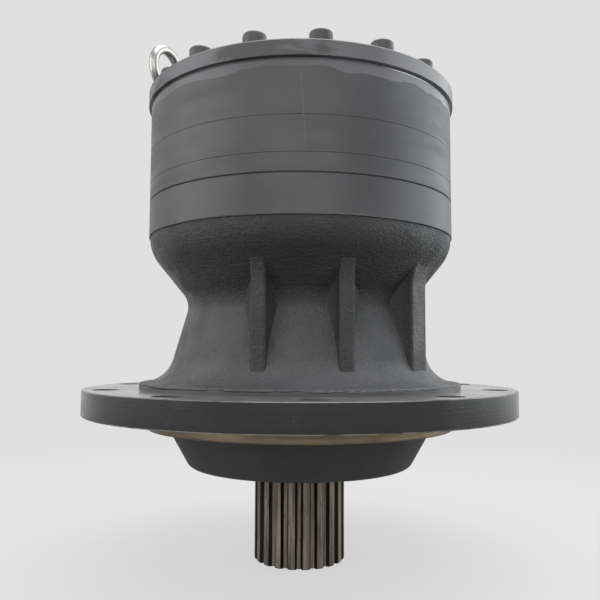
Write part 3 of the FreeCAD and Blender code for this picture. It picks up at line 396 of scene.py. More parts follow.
def bump(material, height, distance, normal=None):
    """A bump of a height socket, on top of an earlier one."""
    values = {"Height": height, "Distance": distance, "Strength": 1.0}
    if normal is not None:
        values["Normal"] = normal
    return add(material, "ShaderNodeBump", values).outputs["Normal"]


def opaque(colour):
    """A colour of four parts from one of three."""
    return (colour[0], colour[1], colour[2], 1.0)


def specks(material, scale, share, seed):
    """A mask of dust specks under a millimetre wide, in a share of the cells of a loose grid."""
    moved = add(material, "ShaderNodeMapping",
                {"Vector": place(material), "Location": (seed, seed * 0.7, seed * 1.3)})
    cells = add(material, "ShaderNodeTexVoronoi", {"Vector": moved.outputs[0], "Scale": scale}, feature="F1")
    near = ramp(material, cells.outputs["Distance"], 0.02, 0.045, 1.0, 0.0)
    pick = add(material, "ShaderNodeSeparateColor", {"Color": cells.outputs["Color"]}).outputs["Red"]
    chosen = ramp(material, pick, 1.0 - share, 1.0 - share * 0.9)
    return product(material, near, chosen)


def scaled(material, colour, factor):
    """A colour times a factor."""
    return add(material, "ShaderNodeVectorMath", {0: colour, "Scale": factor}, operation="SCALE").outputs[0]


def mixed(material, factor, first, second):
    """A mix of two values."""
    return add(material, "ShaderNodeMix", {0: factor, 2: first, 3: second}, data_type="FLOAT").outputs[0]


def product(material, *values):
    """Several values multiplied."""
    result = values[0]
    for value in values[1:]:
        result = math_node(material, "MULTIPLY", result, value)
    return result


def facing_up(material, low=0.8, high=0.95):
    """A mask that is 1 on faces that look upwards, from a low to a high cosine of their slope."""
    normal = add(material, "ShaderNodeNewGeometry").outputs["Normal"]
    return ramp(material, add(material, "ShaderNodeSeparateXYZ", {"Vector": normal}).outputs["Z"], low, high)


def hair_scratch(material):
    """A mask of the long hair scratch down the front of the rings."""
    spot = coordinates(material)
    wander = noise(material, place(material, (0.0, 0.0, 60.0)), 1.0, 2.0)
    line = math_node(material, "ADD", product(material, spot["Z"], SCRATCH_LEAN),
                     product(material, wander, SCRATCH_WANDER))
    offset = math_node(material, "SUBTRACT", spot["X"], math_node(material, "ADD", line, SCRATCH_PLACE))
    thin = ramp(material, math_node(material, "ABSOLUTE", offset), 0.0001, 0.0004, 1.0, 0.0)
    broken = ramp(material, noise(material, place(material, (0.0, 0.0, 160.0)), 1.0, 3.0), 0.42, 0.58)
    front = ramp(material, spot["Y"], -0.1, -0.09, 1.0, 0.0)
    return product(material, thin, broken, front,
                   between(material, spot["Z"], SCRATCH_LOW, SCRATCH_HIGH, 0.004))


def rubbed_spots_and_sheen(material, strength):
    """A mask of the cover's lighter paint: a painted sheen over its right side, and weaker rubbed spots
    elsewhere.
    """
    right_side_sheen = ramp(material, coordinates(material)["X"], 0.045, 0.085)
    cloud = noise(material, place(material, (11.0, 11.0, 30.0)), 1.0, 5.0, 0.6, 0.4)
    spots = ramp(material, cloud, 0.50, 0.60)
    return math_node(material, "MAXIMUM", right_side_sheen, product(material, spots, strength))


def painted_lit_band(material, lower_edge):
    """A mask of a band of painted light above a height: wavy at its edge, strongest on the right."""
    spot = coordinates(material)
    wave = noise(material, place(material, (16.0, 16.0, 0.0)), 1.0, 3.0, 0.5)
    waved = math_node(material, "ADD", spot["Z"],
                      ramp(material, wave, 0.3, 0.7, -LIT_BAND_WAVE, LIT_BAND_WAVE))
    strength = math_node(material, "MAXIMUM", ramp(material, spot["X"], -0.02, 0.09, 0.25, 0.85),
                         ramp(material, spot["X"], -0.08, -0.03, 0.5, 0.25))
    return product(material, strength, ramp(material, waved, lower_edge - 0.0005, lower_edge + 0.0005))


def edge_glint(material):
    """A mask of the bright line at the right of the upper ring's top edge."""
    spot = coordinates(material)
    line = between(material, spot["Z"], UPPER_RING_TOP - 0.0013, UPPER_RING_TOP - 0.0005, 0.0002)
    return product(material, line, between(material, spot["X"], 0.082, 0.122, 0.012))


def tool_lines(material):
    """The height of fine turning lines round the shaft axis."""
    return noise(material, place(material, (2.0, 2.0, 900.0)), 1.0, 2.0)


def turned_paint(look, name="charcoal_turned_paint", patchy=0.0, lit_band_edge=0.0):
    """Charcoal paint over turned steel: faint tool lines, smudges, dust specks and a hair scratch.

    patchy is the strength of rubbed spots, lit_band_edge the height of the lower edge of a band of painted
    light.
    """
    material, shader = new_material(name, Specular_IOR_Level=0.5)
    cloud = noise(material, place(material), 14.0, 4.0)
    smear = noise(material, place(material, (9.0, 9.0, 60.0)), 1.0, 5.0, 0.6)
    base = scaled(material, look.colour, ramp(material, cloud, 0.3, 0.7, 0.88, 1.12))
    gloss = ramp(material, smear, 0.35, 0.7, look.roughness - 0.07, look.roughness + 0.09)
    # Lighter paint for rubbed spots, for the painted sheen on the cover's right side and for the painted
    # light band
    rubbed = opaque([RUBBED_OR_LIT_LIFT * part for part in look.colour])
    if patchy:
        rubbed_or_sheen = rubbed_spots_and_sheen(material, patchy)
        base = blend(material, rubbed_or_sheen, base, rubbed)
        gloss = mixed(material, rubbed_or_sheen, gloss, 0.30)
    # Painted light: a lighter band under the cover, strongest on the right, with a painted glint at the
    # ring's top edge
    if lit_band_edge:
        band = painted_lit_band(material, lit_band_edge)
        base = blend(material, band, base, rubbed)
        gloss = mixed(material, band, gloss, 0.24)
        base = blend(material, edge_glint(material), base, opaque(GLINT_COLOUR))
    dust = product(material, specks(material, 105.0, 0.22, 0.31), 0.6)
    scratch = product(material, hair_scratch(material), 0.3)
    marked = math_node(material, "MAXIMUM", dust, scratch)
    normal = bump(material, tool_lines(material), 0.00008)
    normal = bump(material, noise(material, place(material), 420.0, 2.0), 0.00005, normal=normal)
    fill(material, shader.inputs, {"Base Color": blend(material, marked, base, opaque(look.dust_colour)),
                                   "Roughness": gloss, "Normal": normal})
    return material


def casting_zones(material, radius, height):
    """Masks of the housing's cast neck, flange rim, level flange top, bare pilot and seal boss."""
    wave = noise(material, place(material, (22.0, 22.0, 0.0)), 1.0, 3.0, 0.5)
    skin_height = math_node(material, "ADD", height, ramp(material, wave, 0.3, 0.7, -SKIN_WAVE, SKIN_WAVE))
    neck = between(material, skin_height, FOOT_TOP - 0.002, BAND_BOTTOM + 0.0004, 0.0005)
    rim = product(material, between(material, height, -0.001, FLANGE_TOP - 0.0004, 0.0003),
                  ramp(material, radius, FLANGE_RADIUS - 0.004, FLANGE_RADIUS - 0.002))
    level = product(material, between(material, height, FLANGE_TOP - 0.001, FLANGE_TOP + 0.001, 0.0003),
                    facing_up(material))
    pilot = product(material, between(material, height, PILOT_BOTTOM - 0.001, -0.0004, 0.0003),
                    ramp(material, radius, PILOT_RADIUS - 0.012, PILOT_RADIUS - 0.008))
    boss = ramp(material, height, PILOT_BOTTOM - 0.003, PILOT_BOTTOM - 0.001, 1.0, 0.0)
    return neck, rim, level, pilot, boss


def rim_edge_wear_and_highlight(material, radius, height):
    """A mask of rubbed paint and painted highlight along the flange rim's edges, weaker on the upper one."""
    upper = between(material, height, FLANGE_TOP - 0.0009, FLANGE_TOP - 0.0002, 0.0002)
    lower = between(material, height, 0.0001, 0.0009, 0.0002)
    both = math_node(material, "MAXIMUM", product(material, upper, 0.4), lower)
    outside = ramp(material, radius, FLANGE_RADIUS - 0.0025, FLANGE_RADIUS - 0.0015)
    broken = ramp(material, noise(material, place(material), 60.0, 3.0), 0.35, 0.55, 0.2, 0.95)
    return product(material, both, outside, broken)


def cast_skin_colour(material, look, tone):
    """The sand-cast skin: dark and finely speckled, with painted light greying the slopes that face up."""
    speckle = ramp(material, noise(material, place(material), 420.0, 4.0, 0.7), 0.3, 0.7, 0.82, 1.18)
    skin_tone = product(material, tone, speckle)
    # Painted light: faces turned up take up to 55 % of the lighter bluish copy; faces turned down keep the
    # dark cast colour
    upward = product(material, facing_up(material, -0.1, 0.5), 0.55)
    return blend(material, upward, scaled(material, look.cast_colour, skin_tone),
                 scaled(material, look.lit_cast_colour, skin_tone))


def casting_relief(material, look, share):
    """Bumps of the casting: sand grain, lumps and wipes by a mask, then tool lines and orange peel."""
    grain = ramp(material, noise(material, place(material), 380.0, 4.0, 0.65), 0.3, 0.7)
    lumps = noise(material, place(material), 90.0, 3.0, 0.55)
    wipes = noise(material, place(material, (30.0, 30.0, 420.0)), 1.0, 3.0, 0.5, 0.8)
    sand = math_node(material, "ADD", product(material, grain, 0.8),
                     math_node(material, "ADD", product(material, lumps, 1.2),
                               product(material, wipes, 0.8)))
    normal = bump(material, product(material, sand, share), look.grain_depth)
    normal = bump(material, tool_lines(material), 0.00006, normal=normal)
    return bump(material, noise(material, place(material), 300.0, 2.0), 0.00007, normal=normal)


def casting_paint(look, steel):
    """The housing's finish by zone: turned band, cast neck, dusty flange, glossy rim, bare pilot, and a boss
    darkened with painted shade.
    """
    material, shader = new_material("charcoal_casting_paint")
    radius = axis_distance(material)
    height = coordinates(material)["Z"]
    everywhere = place(material)
    neck, rim, level, pilot, boss = casting_zones(material, radius, height)
    tone = ramp(material, noise(material, everywhere, 16.0, 4.0), 0.3, 0.7, 0.86, 1.14)
    blotch = ramp(material, noise(material, everywhere, 30.0, 4.0, 0.6, 0.3), 0.50, 0.68)
    settled = ramp(material, noise(material, everywhere, 30.0, 5.0, 0.65), 0.3, 0.7, THIN_DUST, THICK_DUST)
    stain = noise(material, place(material, (14.0, 14.0, 80.0)), 1.0, 5.0, 0.6)
    paint = opaque(look.colour)
    dust = opaque(look.dust_colour)

    rim_paint = blend(material, product(material, blotch, 0.07), opaque(look.rim_colour), paint)
    bare_iron = scaled(material, steel.pilot_colour, ramp(material, stain, 0.3, 0.7, 0.55, 1.2))
    turned_band = scaled(material, look.colour, tone)
    colour = blend(material, neck, turned_band, cast_skin_colour(material, look, tone))
    # Painted shade: the seal boss under the flange takes the paint at three quarters of its lightness
    colour = blend(material, boss, colour, scaled(material, look.colour, product(material, tone, 0.75)))
    colour = blend(material, rim, colour, rim_paint)
    colour = blend(material, level, colour, blend(material, settled, paint, dust))
    # Rubbed paint and painted highlights along the rim's edges, in the dust colour
    colour = blend(material, rim_edge_wear_and_highlight(material, radius, height), colour, dust)
    colour = blend(material, pilot, colour, bare_iron)
    dotted = product(material, specks(material, 95.0, 0.2, 0.53), 0.5)
    colour = blend(material, dotted, colour, dust)

    skin_gloss = ramp(material, noise(material, everywhere, 40.0, 4.0), 0.35, 0.65, 0.36, 0.56)
    gloss = mixed(material, rim, look.roughness, ramp(material, blotch, 0.0, 1.0, 0.2, 0.26))
    gloss = mixed(material, neck, gloss, skin_gloss)
    gloss = mixed(material, level, gloss, ramp(material, settled, THIN_DUST, THICK_DUST, 0.10, 0.2))
    gloss = mixed(material, pilot, gloss, 0.38)

    rough = math_node(material, "MAXIMUM", neck, product(material, boss, 0.3))
    fill(material, shader.inputs, {"Base Color": colour, "Roughness": gloss,
                                   "Metallic": product(material, pilot, 0.75),
                                   "Normal": casting_relief(material, look, rough)})
    return material


def zinc_plate(steel):
    """Bright zinc with a slightly uneven sheen."""
    material, shader = new_material("bright_zinc", Metallic=1.0, Base_Color=opaque(steel.zinc_colour))
    sheen = ramp(material, noise(material, place(material), 120.0, 3.0), 0.3, 0.7, 0.2, 0.36)
    normal = bump(material, noise(material, place(material), 500.0, 2.0), 0.0001)
    fill(material, shader.inputs, {"Roughness": sheen, "Normal": normal})
    return material


def spline_steel(steel, size):
    """Hobbed shaft steel: streaked tips and root flats, old oil in pits, painted shade on the flanks between
    the teeth, cutter marks.
    """
    material, shader = new_material("stained_spline_steel", Metallic=0.85)
    oil = opaque(steel.stain_and_shade_colour)
    streak = noise(material, place(material, (260.0, 260.0, 14.0)), 1.0, 4.0, 0.6)
    base = scaled(material, steel.shaft_colour, ramp(material, streak, 0.3, 0.7, 0.45, 1.5))
    pits = ramp(material, noise(material, place(material, (300.0, 300.0, 110.0)), 1.0, 4.0, 0.65), 0.62, 0.70)
    base = blend(material, product(material, pits, 0.7), base, oil)
    # Painted shade: the flanks between tip and root are coloured nearly black
    flank = between(material, axis_distance(material), size.root_radius + 0.0004, size.tip_radius - 0.0004,
                    0.0003)
    colour = blend(material, product(material, flank, 0.93), base, oil)
    marks = noise(material, place(material, (20.0, 20.0, 1600.0)), 1.0, 2.0)
    fill(material, shader.inputs, {"Base Color": colour, "Normal": bump(material, marks, 0.00006),
                                   "Roughness": ramp(material, streak, 0.3, 0.7, 0.32, 0.55)})
    return material


def plain_steel(name, colour, roughness, grain, metallic):
    """A bare metal with a fine ground or turned grain; grain is its scale across the shaft axis."""
    material, shader = new_material(name, Metallic=metallic)
    base = scaled(material, colour,
                  ramp(material, noise(material, place(material), 60.0, 4.0), 0.3, 0.7, 0.85, 1.12))
    gloss = ramp(material, noise(material, place(material), 200.0, 3.0), 0.3, 0.7,
                 roughness - 0.06, roughness + 0.08)
    normal = bump(material, noise(material, place(material, (grain, grain, 900.0)), 1.0, 2.0), 0.00004)
    fill(material, shader.inputs, {"Base Color": base, "Roughness": gloss, "Normal": normal})
    return material


def soft_plain(name, colour, roughness):
    """A plain material without metal, such as rubber or nylon."""
    material, shader = new_material(name, Roughness=roughness)
    base = scaled(material, colour,
                  ramp(material, noise(material, place(material), 90.0, 3.0), 0.3, 0.7, 0.9, 1.1))
    normal = bump(material, noise(material, place(material), 700.0, 2.0), 0.00003)
    fill(material, shader.inputs, {"Base Color": base, "Normal": normal})
    return material


def coat(material, *names):
    """Gives the named CAD nodes a material."""
    for name in names:
        node = frame["nodes"][name]
        node.data.materials.clear()
        node.data.materials.append(material)


def nodes_in_slot(slot):
    """The CAD nodes that take their finish from one of the record's slots."""
    return [part["node"] for part in frame["record"]["subparts"] if part["material_slot"] == slot]


class GEARBOX_OT_paint_casing(bpy.types.Operator):
    """Paints the housing, ring gears and cover"""

    bl_idname = "gearbox.paint_casing"
    bl_label = "Paint Casing"

    def execute(self, context):
        look = context.scene.gearbox_paint
        steel = context.scene.gearbox_steel
        coat(casting_paint(look, steel), "housing")
        coat(turned_paint(look), "lower_ring_gear")
        # The upper ring gets a band of painted light under the cover
        lit_band_edge = UPPER_RING_TOP - LIT_BAND_HEIGHT
        coat(turned_paint(look, "charcoal_upper_ring_paint", lit_band_edge=lit_band_edge), "upper_ring_gear")
        # The cover gets rubbed spots and a painted sheen over its right side
        coat(turned_paint(look, "charcoal_cover_paint", patchy=0.6), "cover")
        return {"FINISHED"}


class GEARBOX_OT_finish_inside(bpy.types.Operator):
    """Finishes the gears, carriers, bearings, screws, bushes and seals"""

    bl_idname = "gearbox.finish_inside"
    bl_label = "Finish Inside"

    def execute(self, context):
        steel = context.scene.gearbox_steel
        # Slot, material name, colour, roughness, grain and metallic share of each metal
        metals = (
            ("gear_steel", "ground_gear_steel", steel.gear_colour, 0.3, 40.0, 1.0),
            ("bearing_steel", "bearing_steel", (0.56, 0.56, 0.58), 0.18, 8.0, 1.0),
            ("carrier_steel", "machined_carrier_steel", (0.34, 0.34, 0.35), 0.38, 8.0, 1.0),
            ("black_oxide", "black_oxide", (0.05, 0.05, 0.055), 0.42, 60.0, 0.6),
            ("ground_steel", "ground_pin_steel", (0.55, 0.55, 0.56), 0.22, 8.0, 1.0),
            ("bronze", "turned_bronze", steel.bronze_colour, 0.34, 8.0, 1.0),
            ("soft_aluminium", "soft_aluminium", (0.7, 0.7, 0.71), 0.4, 8.0, 1.0),
        )
        for slot, name, colour, roughness, grain, metallic in metals:
            coat(plain_steel(name, colour, roughness, grain, metallic), *nodes_in_slot(slot))
        coat(soft_plain("nitrile_rubber", (0.02, 0.02, 0.02), 0.6), *nodes_in_slot("seal_rubber"))
        coat(soft_plain("natural_nylon", (0.62, 0.58, 0.48), 0.5), *nodes_in_slot("thrust_plastic"))
        return {"FINISHED"}


# Modelling by hand


def clear_selection():
    """Leaves edit mode and selects nothing, because the loaded nodes are selected."""
    if bpy.context.object and bpy.context.object.mode != "OBJECT":
        bpy.ops.object.mode_set(mode="OBJECT")
    bpy.ops.object.select_all(action="DESELECT")


def choose(kind, test):
    """In edit mode, selects just the vertices, edges or faces whose middle passes a test."""
    bpy.ops.mesh.select_mode(type=kind)
    bpy.ops.mesh.select_all(action="DESELECT")
    mesh = bmesh.from_edit_mesh(bpy.context.object.data)
    if kind == "VERT":
        for vertex in mesh.verts:
            vertex.select_set(test(vertex.co))
    elif kind == "EDGE":
        for edge in mesh.edges:
            edge.select_set(test((edge.verts[0].co + edge.verts[1].co) / 2))
    else:
        for face in mesh.faces:
            face.select_set(test(face.calc_center_median()))
    mesh.select_flush_mode()
    bmesh.update_edit_mesh(bpy.context.object.data)


def copy_of_node(name, piece_name):
    """A copy of a CAD node as a piece of its own, in edit mode, with its loose triangles merged."""
    clear_selection()
    node = frame["nodes"][name]
    node.select_set(True)
    bpy.context.view_layer.objects.active = node
    bpy.ops.object.duplicate()
    piece = bpy.context.active_object
    piece.name = piece_name
    piece.parent = None
    del piece["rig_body"]
    del piece["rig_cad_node"]
    bpy.ops.object.mode_set(mode="EDIT")
    bpy.ops.mesh.select_mode(type="VERT")
    bpy.ops.mesh.select_all(action="SELECT")
    bpy.ops.mesh.remove_doubles(threshold=0.000002)
    return piece


def cut_off_below(height):
    """In edit mode, cuts off what lies below a height and closes the cut."""
    bpy.ops.mesh.select_all(action="SELECT")
    bpy.ops.mesh.bisect(plane_co=(0.0, 0.0, height), plane_no=(0.0, 0.0, -1.0), use_fill=True,
                        clear_outer=True)


def apply_modifier(piece, kind, **settings):
    """Adds a modifier with its settings and applies it."""
    modifier = piece.modifiers.new(kind.title(), kind)
    for key, value in settings.items():
        setattr(modifier, key, value)
    bpy.context.view_layer.objects.active = piece
    bpy.ops.object.modifier_apply(modifier=modifier.name)


def smooth(piece, angle=0.6):
    """Smooth shading with sharp edges past an angle."""
    clear_selection()
    piece.select_set(True)
    bpy.context.view_layer.objects.active = piece
    bpy.ops.object.shade_smooth_by_angle(angle=angle)


def dress(piece, material, body, node):
    """Gives a piece its material and body, and hides the CAD node that it stands for."""
    piece.data.materials.clear()
    piece.data.materials.append(material)
    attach(piece, body)
    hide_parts(node)


def freeze(piece):
    """Moves a piece's place and turn into its mesh."""
    bpy.ops.object.transform_apply(location=True, rotation=True, scale=True)
    return piece


def on_ring(radius, angle):
    """Plan position at a radius and an angle from the front."""
    return radius * math.sin(angle), -radius * math.cos(angle)


def carve(piece, tool):
    """Cuts a tool out of a piece and deletes the tool."""
    apply_modifier(piece, "BOOLEAN", operation="DIFFERENCE", solver="EXACT", object=tool)
    bpy.data.objects.remove(tool, do_unlink=True)


class GEARBOX_OT_model_cover_screws(bpy.types.Operator):
    """Models one socket head cap screw and spins its copies round the cover"""

    bl_idname = "gearbox.model_cover_screws"
    bl_label = "Model Cover Screws"

    def execute(self, context):
        size = context.scene.gearbox_fasteners
        x, y = on_ring(size.screw_ring, size.screw_phase)
        top = COVER_TOP + size.head_height
        clear_selection()
        bpy.ops.mesh.primitive_cylinder_add(vertices=40, radius=size.head_radius, depth=size.head_height,
                                            location=(x, y, COVER_TOP + size.head_height / 2))
        screw = freeze(context.active_object)
        screw.name = "cover_cap_screws"
        bpy.ops.object.mode_set(mode="EDIT")
        choose("FACE", lambda spot: spot.z < COVER_TOP + NEAR)
        bpy.ops.mesh.inset(thickness=size.head_radius - size.screw_radius)
        bpy.ops.mesh.extrude_region_move(TRANSFORM_OT_translate={"value": (0.0, 0.0, -size.screw_length)})
        bpy.ops.mesh.bevel(offset=POINT_CHAMFER, segments=1)
        choose("EDGE", lambda spot: spot.z > top - NEAR)
        bpy.ops.mesh.bevel(offset=HEAD_TOP_ROUND, segments=5)
        choose("EDGE", lambda spot: abs(spot.z - COVER_TOP) < NEAR
               and math.hypot(spot.x - x, spot.y - y) > size.head_radius * 0.95)
        bpy.ops.mesh.bevel(offset=HEAD_FOOT_ROUND, segments=2)
        bpy.ops.object.mode_set(mode="OBJECT")
        clear_selection()
        bpy.ops.mesh.primitive_cylinder_add(vertices=6, radius=size.key_width / math.sqrt(3.0),
                                            depth=2.0 * KEY_DEPTH, location=(x, y, top),
                                            rotation=(0.0, 0.0, KEY_TURN))
        socket = freeze(context.active_object)
        carve(screw, socket)
        screw.select_set(True)
        context.view_layer.objects.active = screw
        bpy.ops.object.mode_set(mode="EDIT")
        bpy.ops.mesh.select_all(action="SELECT")
        copies = size.screw_count - 1
        bpy.ops.mesh.spin(steps=copies, dupli=True, center=(0.0, 0.0, 0.0), axis=(0.0, 0.0, 1.0),
                          angle=2.0 * math.pi * copies / size.screw_count)
        bpy.ops.object.mode_set(mode="OBJECT")
        smooth(screw)
        dress(screw, turned_paint(context.scene.gearbox_paint), "casing", "cover_screws")
        return {"FINISHED"}


class GEARBOX_OT_model_eye_bolt(bpy.types.Operator):
    """Models the lifting eye bolt: shank, flanged collar, waisted neck and forged loop"""

    bl_idname = "gearbox.model_eye_bolt"
    bl_label = "Model Eye Bolt"

    def execute(self, context):
        size = context.scene.gearbox_fasteners
        x, y = on_ring(size.eye_ring, size.eye_angle)
        middle = COVER_TOP + size.eye_height - size.loop_radius - size.bar_radius
        foot = middle - LOOP_FOOT_START * size.loop_radius
        clear_selection()
        bpy.ops.mesh.primitive_cylinder_add(vertices=48, radius=EYE_SHANK_RADIUS, depth=EYE_SHANK_LENGTH,
                                            location=(x, y, COVER_TOP - EYE_SHANK_LENGTH / 2))
        stem = freeze(context.active_object)
        bpy.ops.object.mode_set(mode="EDIT")
        choose("FACE", lambda spot: spot.z > COVER_TOP - NEAR)
        for scale, rise in EYE_STEM_STEPS:
            bpy.ops.mesh.extrude_region_move(TRANSFORM_OT_translate={"value": (0.0, 0.0, rise)})
            bpy.ops.transform.resize(value=(scale, scale, 1.0), center_override=(x, y, COVER_TOP))
        bpy.ops.object.mode_set(mode="OBJECT")
        clear_selection()
        bpy.ops.mesh.primitive_torus_add(major_segments=96, minor_segments=28, major_radius=size.loop_radius,
                                         minor_radius=size.bar_radius, location=(x, y, middle),
                                         rotation=(math.pi / 2, 0.0, size.eye_turn))
        loop = freeze(context.active_object)
        loop.name = "forged_eye_bolt"
        bpy.ops.object.mode_set(mode="EDIT")
        choose("VERT", lambda spot: spot.z < foot)
        bpy.ops.transform.resize(value=(1.0, 1.0, LOOP_FOOT_STRETCH), center_override=(x, y, foot))
        bpy.ops.object.mode_set(mode="OBJECT")
        apply_modifier(loop, "BOOLEAN", operation="UNION", solver="EXACT", object=stem)
        bpy.data.objects.remove(stem, do_unlink=True)
        smooth(loop)
        dress(loop, zinc_plate(context.scene.gearbox_steel), "casing", "eye_bolt")
        return {"FINISHED"}


def draw_in(radius, old_radius):
    """In edit mode, scales the chosen points about the shaft axis from an old radius to a new one."""
    share = radius / old_radius
    bpy.ops.transform.resize(value=(share, share, 1.0), center_override=(0.0, 0.0, 0.0))


class GEARBOX_OT_model_splined_shaft(bpy.types.Operator):
    """Models the hobbed output spline under the shaft's turned seats"""

    bl_idname = "gearbox.model_splined_shaft"
    bl_label = "Model Splined Shaft"

    def execute(self, context):
        size = context.scene.gearbox_spline
        top = FLOOR_HEIGHT + SPLINE_LENGTH
        seats = copy_of_node("output_shaft", "turned_seats")
        cut_off_below(top + SEAT_CUT)
        bpy.ops.object.mode_set(mode="OBJECT")

        clear_selection()
        bpy.ops.mesh.primitive_cylinder_add(vertices=POINTS_PER_TOOTH * size.teeth, radius=size.tip_radius,
                                            depth=SPLINE_LENGTH + TEETH_RUN_IN,
                                            location=(0.0, 0.0, top + TEETH_RUN_IN / 2 - SPLINE_LENGTH / 2),
                                            rotation=(0.0, 0.0, size.phase))
        shaft = freeze(context.active_object)
        shaft.name = "splined_output_shaft"
        pitch = 2.0 * math.pi / size.teeth
        flank_radius = (size.tip_radius + size.root_radius) / 2 + FLANK_BULGE

        def from_tooth(spot):
            """How far a point lies from the nearest tooth's middle, as a share of the pitch."""
            turn = math.atan2(spot.x, -spot.y) - size.phase
            return abs((turn + pitch / 2) % pitch - pitch / 2) / pitch

        bpy.ops.object.mode_set(mode="EDIT")
        choose("VERT", lambda spot: FLANK_START < from_tooth(spot) < ROOT_START)
        draw_in(flank_radius, size.tip_radius)
        choose("VERT", lambda spot: ROOT_START < from_tooth(spot) < ROOT_END)
        draw_in(size.root_radius, size.tip_radius)
        bpy.ops.mesh.select_all(action="SELECT")
        bpy.ops.mesh.bisect(plane_co=(0.0, 0.0, FLOOR_HEIGHT + size.chamfer), plane_no=(0.0, 0.0, 1.0))
        end_radius = size.tip_radius - size.chamfer
        for radius in (size.tip_radius, flank_radius):
            choose("VERT", lambda spot: spot.z < FLOOR_HEIGHT + NEAR
                   and abs(math.hypot(spot.x, spot.y) - radius) < NEAR)
            draw_in(min(radius, end_radius), radius)
        bpy.ops.object.mode_set(mode="OBJECT")
        clear_selection()
        bpy.ops.mesh.primitive_cone_add(vertices=32, radius1=CENTRE_HOLE_RADIUS, radius2=0.0,
                                        depth=CENTRE_HOLE_DEPTH + TOOL_STANDOUT,
                                        location=(0.0, 0.0, FLOOR_HEIGHT
                                                  + (CENTRE_HOLE_DEPTH - TOOL_STANDOUT) / 2))
        centre = freeze(context.active_object)
        carve(shaft, centre)
        seats.select_set(True)
        shaft.select_set(True)
        context.view_layer.objects.active = shaft
        bpy.ops.object.join()
        smooth(shaft, 0.5)
        dress(shaft, spline_steel(context.scene.gearbox_steel, size), "output", "output_shaft")
        return {"FINISHED"}


def softbox(name, spot, target, width, height, power, colour=(1.0, 1.0, 1.0)):
    """A rectangular area lamp at a spot, facing a target."""
    data = bpy.data.lights.new(name, "AREA")
    data.shape = "RECTANGLE"
    data.size = width
    data.size_y = height
    data.energy = power
    data.color = colour
    lamp = bpy.data.objects.new(name, data)
    bpy.context.scene.collection.objects.link(lamp)
    lamp.location = spot
    aim = [end - start for start, end in zip(spot, target)]
    yaw = math.atan2(aim[1], aim[0]) - math.pi / 2
    fall = math.atan2(aim[2], math.hypot(aim[0], aim[1])) + math.pi / 2
    lamp.rotation_euler = (fall, 0.0, yaw)


def pale_floor(look):
    """The floor: pale to the camera, shaded near the object, and dark in the light that it throws back."""
    material, shader = new_material("pale_floor", Roughness=0.9)
    radius = axis_distance(material)
    rays = add(material, "ShaderNodeLightPath").outputs
    mirrored = math_node(material, "MAXIMUM", rays["Is Glossy Ray"], rays["Is Transmission Ray"])
    seen = math_node(material, "MAXIMUM", rays["Is Camera Ray"], mirrored)
    camera_colour = opaque([FLOOR_GREY * part for part in look.backdrop])
    fill(material, shader.inputs,
         {"Base Color": blend(material, rays["Is Camera Ray"], opaque(look.floor_bounce), camera_colour)})
    reflected = ramp(material, radius, MIRROR_START, MIRROR_END, look.floor_mirror, 1.0)
    strength = mixed(material, mirrored, 1.0, reflected)
    glow = add(material, "ShaderNodeEmission", {"Color": opaque(look.backdrop), "Strength": strength})
    share = product(material, seen, ramp(material, radius, SHADE_START, SHADE_END, SHADED_GLOW, 1.0))
    share = math_node(material, "MAXIMUM", share, mirrored)
    cover = add(material, "ShaderNodeMixShader", {0: share, 1: shader.outputs[0], 2: glow.outputs[0]})
    output = material.node_tree.nodes["Material Output"]
    fill(material, output.inputs, {"Surface": cover.outputs[0]})
    return material


def pale_world(look):
    """The backdrop: even and pale to the camera, dimmer on the camera's side in reflections."""
    world = bpy.data.worlds.new("studio_sky")
    world.use_nodes = True
    rays = add(world, "ShaderNodeLightPath").outputs
    mirrored = math_node(world, "MAXIMUM", rays["Is Glossy Ray"], rays["Is Transmission Ray"])
    sky_way = add(world, "ShaderNodeTexCoord").outputs["Generated"]
    way = add(world, "ShaderNodeSeparateXYZ", {"Vector": sky_way})
    reflected = ramp(world, way.outputs["Y"], -0.7, 0.7, look.front_mirror, look.back_mirror)
    strength = mixed(world, rays["Is Camera Ray"], look.sky, 1.0)
    strength = mixed(world, mirrored, strength, reflected)
    background = world.node_tree.nodes["Background"]
    fill(world, background.inputs, {"Color": opaque(look.backdrop), "Strength": strength})
    return world


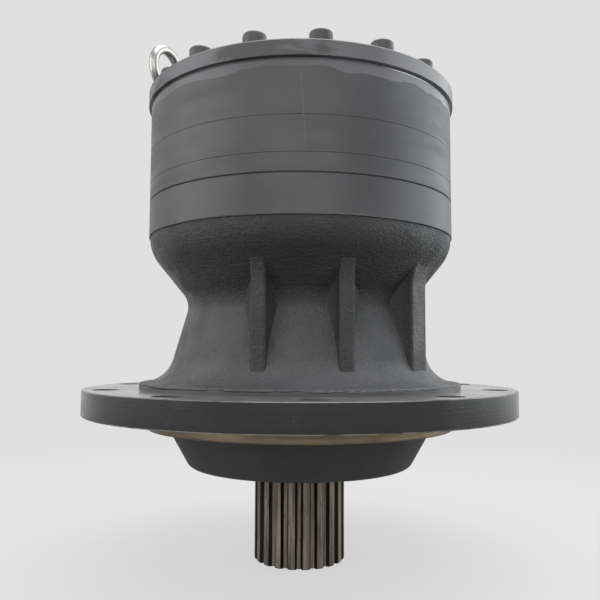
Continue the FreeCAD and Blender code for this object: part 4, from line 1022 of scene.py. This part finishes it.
class GEARBOX_OT_build_studio(bpy.types.Operator):
    """Lays the pale floor, hangs the softboxes and sets up the camera"""

    bl_idname = "gearbox.build_studio"
    bl_label = "Build Studio"

    def execute(self, context):
        look = context.scene.gearbox_studio
        scene = context.scene
        scene.view_settings.view_transform = "Standard"

        clear_selection()
        bpy.ops.mesh.primitive_plane_add(size=40.0, location=(0.0, 0.0, FLOOR_HEIGHT))
        floor = context.active_object
        floor.name = "studio_floor"
        floor.data.materials.append(pale_floor(look))
        scene.world = pale_world(look)

        middle = (0.0, 0.0, 0.12)
        softbox("left_softbox", (-1.7, -0.62, 0.75), middle, width=1.9, height=1.6, power=look.left_power)
        softbox("right_softbox", (1.75, 0.35, 0.7), middle, width=2.2, height=1.6, power=look.right_power,
                colour=(0.9, 0.96, 1.0))
        softbox("overhead_softbox", (0.3, 0.0, 2.2), middle, width=2.0, height=2.0, power=look.top_power)
        softbox("front_softbox", (0.0, -2.3, 0.9), middle, width=2.6, height=1.6, power=look.front_power)

        lens = bpy.data.cameras.new("photo_camera")
        lens.lens = look.lens
        lens.sensor_width = SENSOR_WIDTH
        camera = bpy.data.objects.new("photo_camera", lens)
        scene.collection.objects.link(camera)
        camera.location = (0.0, -look.camera_distance, look.camera_height)
        camera.rotation_euler = (math.pi / 2 + look.camera_pitch, look.camera_roll, 0.0)
        scene.camera = camera
        return {"FINISHED"}


class GEARBOX_PT_panel(bpy.types.Panel):
    """Lists the gearbox's finishing steps and their settings"""

    bl_idname = "GEARBOX_PT_panel"
    bl_label = "Swing Gearbox"
    bl_space_type = "VIEW_3D"
    bl_region_type = "UI"
    bl_category = "Gearbox"

    def draw(self, context):
        layout = self.layout
        for name, kind in LOOKS.items():
            look = getattr(context.scene, name)
            column = layout.column()
            for key in kind.__annotations__:
                column.prop(look, key)
        for step in STEPS:
            layout.operator(step.bl_idname)


STEPS = (
    GEARBOX_OT_paint_casing,
    GEARBOX_OT_finish_inside,
    GEARBOX_OT_model_cover_screws,
    GEARBOX_OT_model_eye_bolt,
    GEARBOX_OT_model_splined_shaft,
    GEARBOX_OT_build_studio,
)
LOOKS = {
    "gearbox_paint": PaintLook,
    "gearbox_steel": SteelLook,
    "gearbox_fasteners": FastenerSizes,
    "gearbox_spline": SplineSizes,
    "gearbox_studio": StudioLook,
}
CLASSES = tuple(LOOKS.values()) + STEPS + (GEARBOX_PT_panel,)


def register():
    """Registers the classes and hangs their settings on the scene."""
    for cls in CLASSES:
        bpy.utils.register_class(cls)
    for name, kind in LOOKS.items():
        setattr(bpy.types.Scene, name, bpy.props.PointerProperty(type=kind))


def unregister():
    """Takes the settings off the scene and unregisters the classes."""
    for name in LOOKS:
        delattr(bpy.types.Scene, name)
    for cls in reversed(CLASSES):
        bpy.utils.unregister_class(cls)


def main():
    """Runs every step in order."""
    register()
    bpy.ops.gearbox.paint_casing()
    bpy.ops.gearbox.finish_inside()
    bpy.ops.gearbox.model_cover_screws()
    bpy.ops.gearbox.model_eye_bolt()
    bpy.ops.gearbox.model_splined_shaft()
    bpy.ops.gearbox.build_studio()


if __name__ == "__main__":
    main()
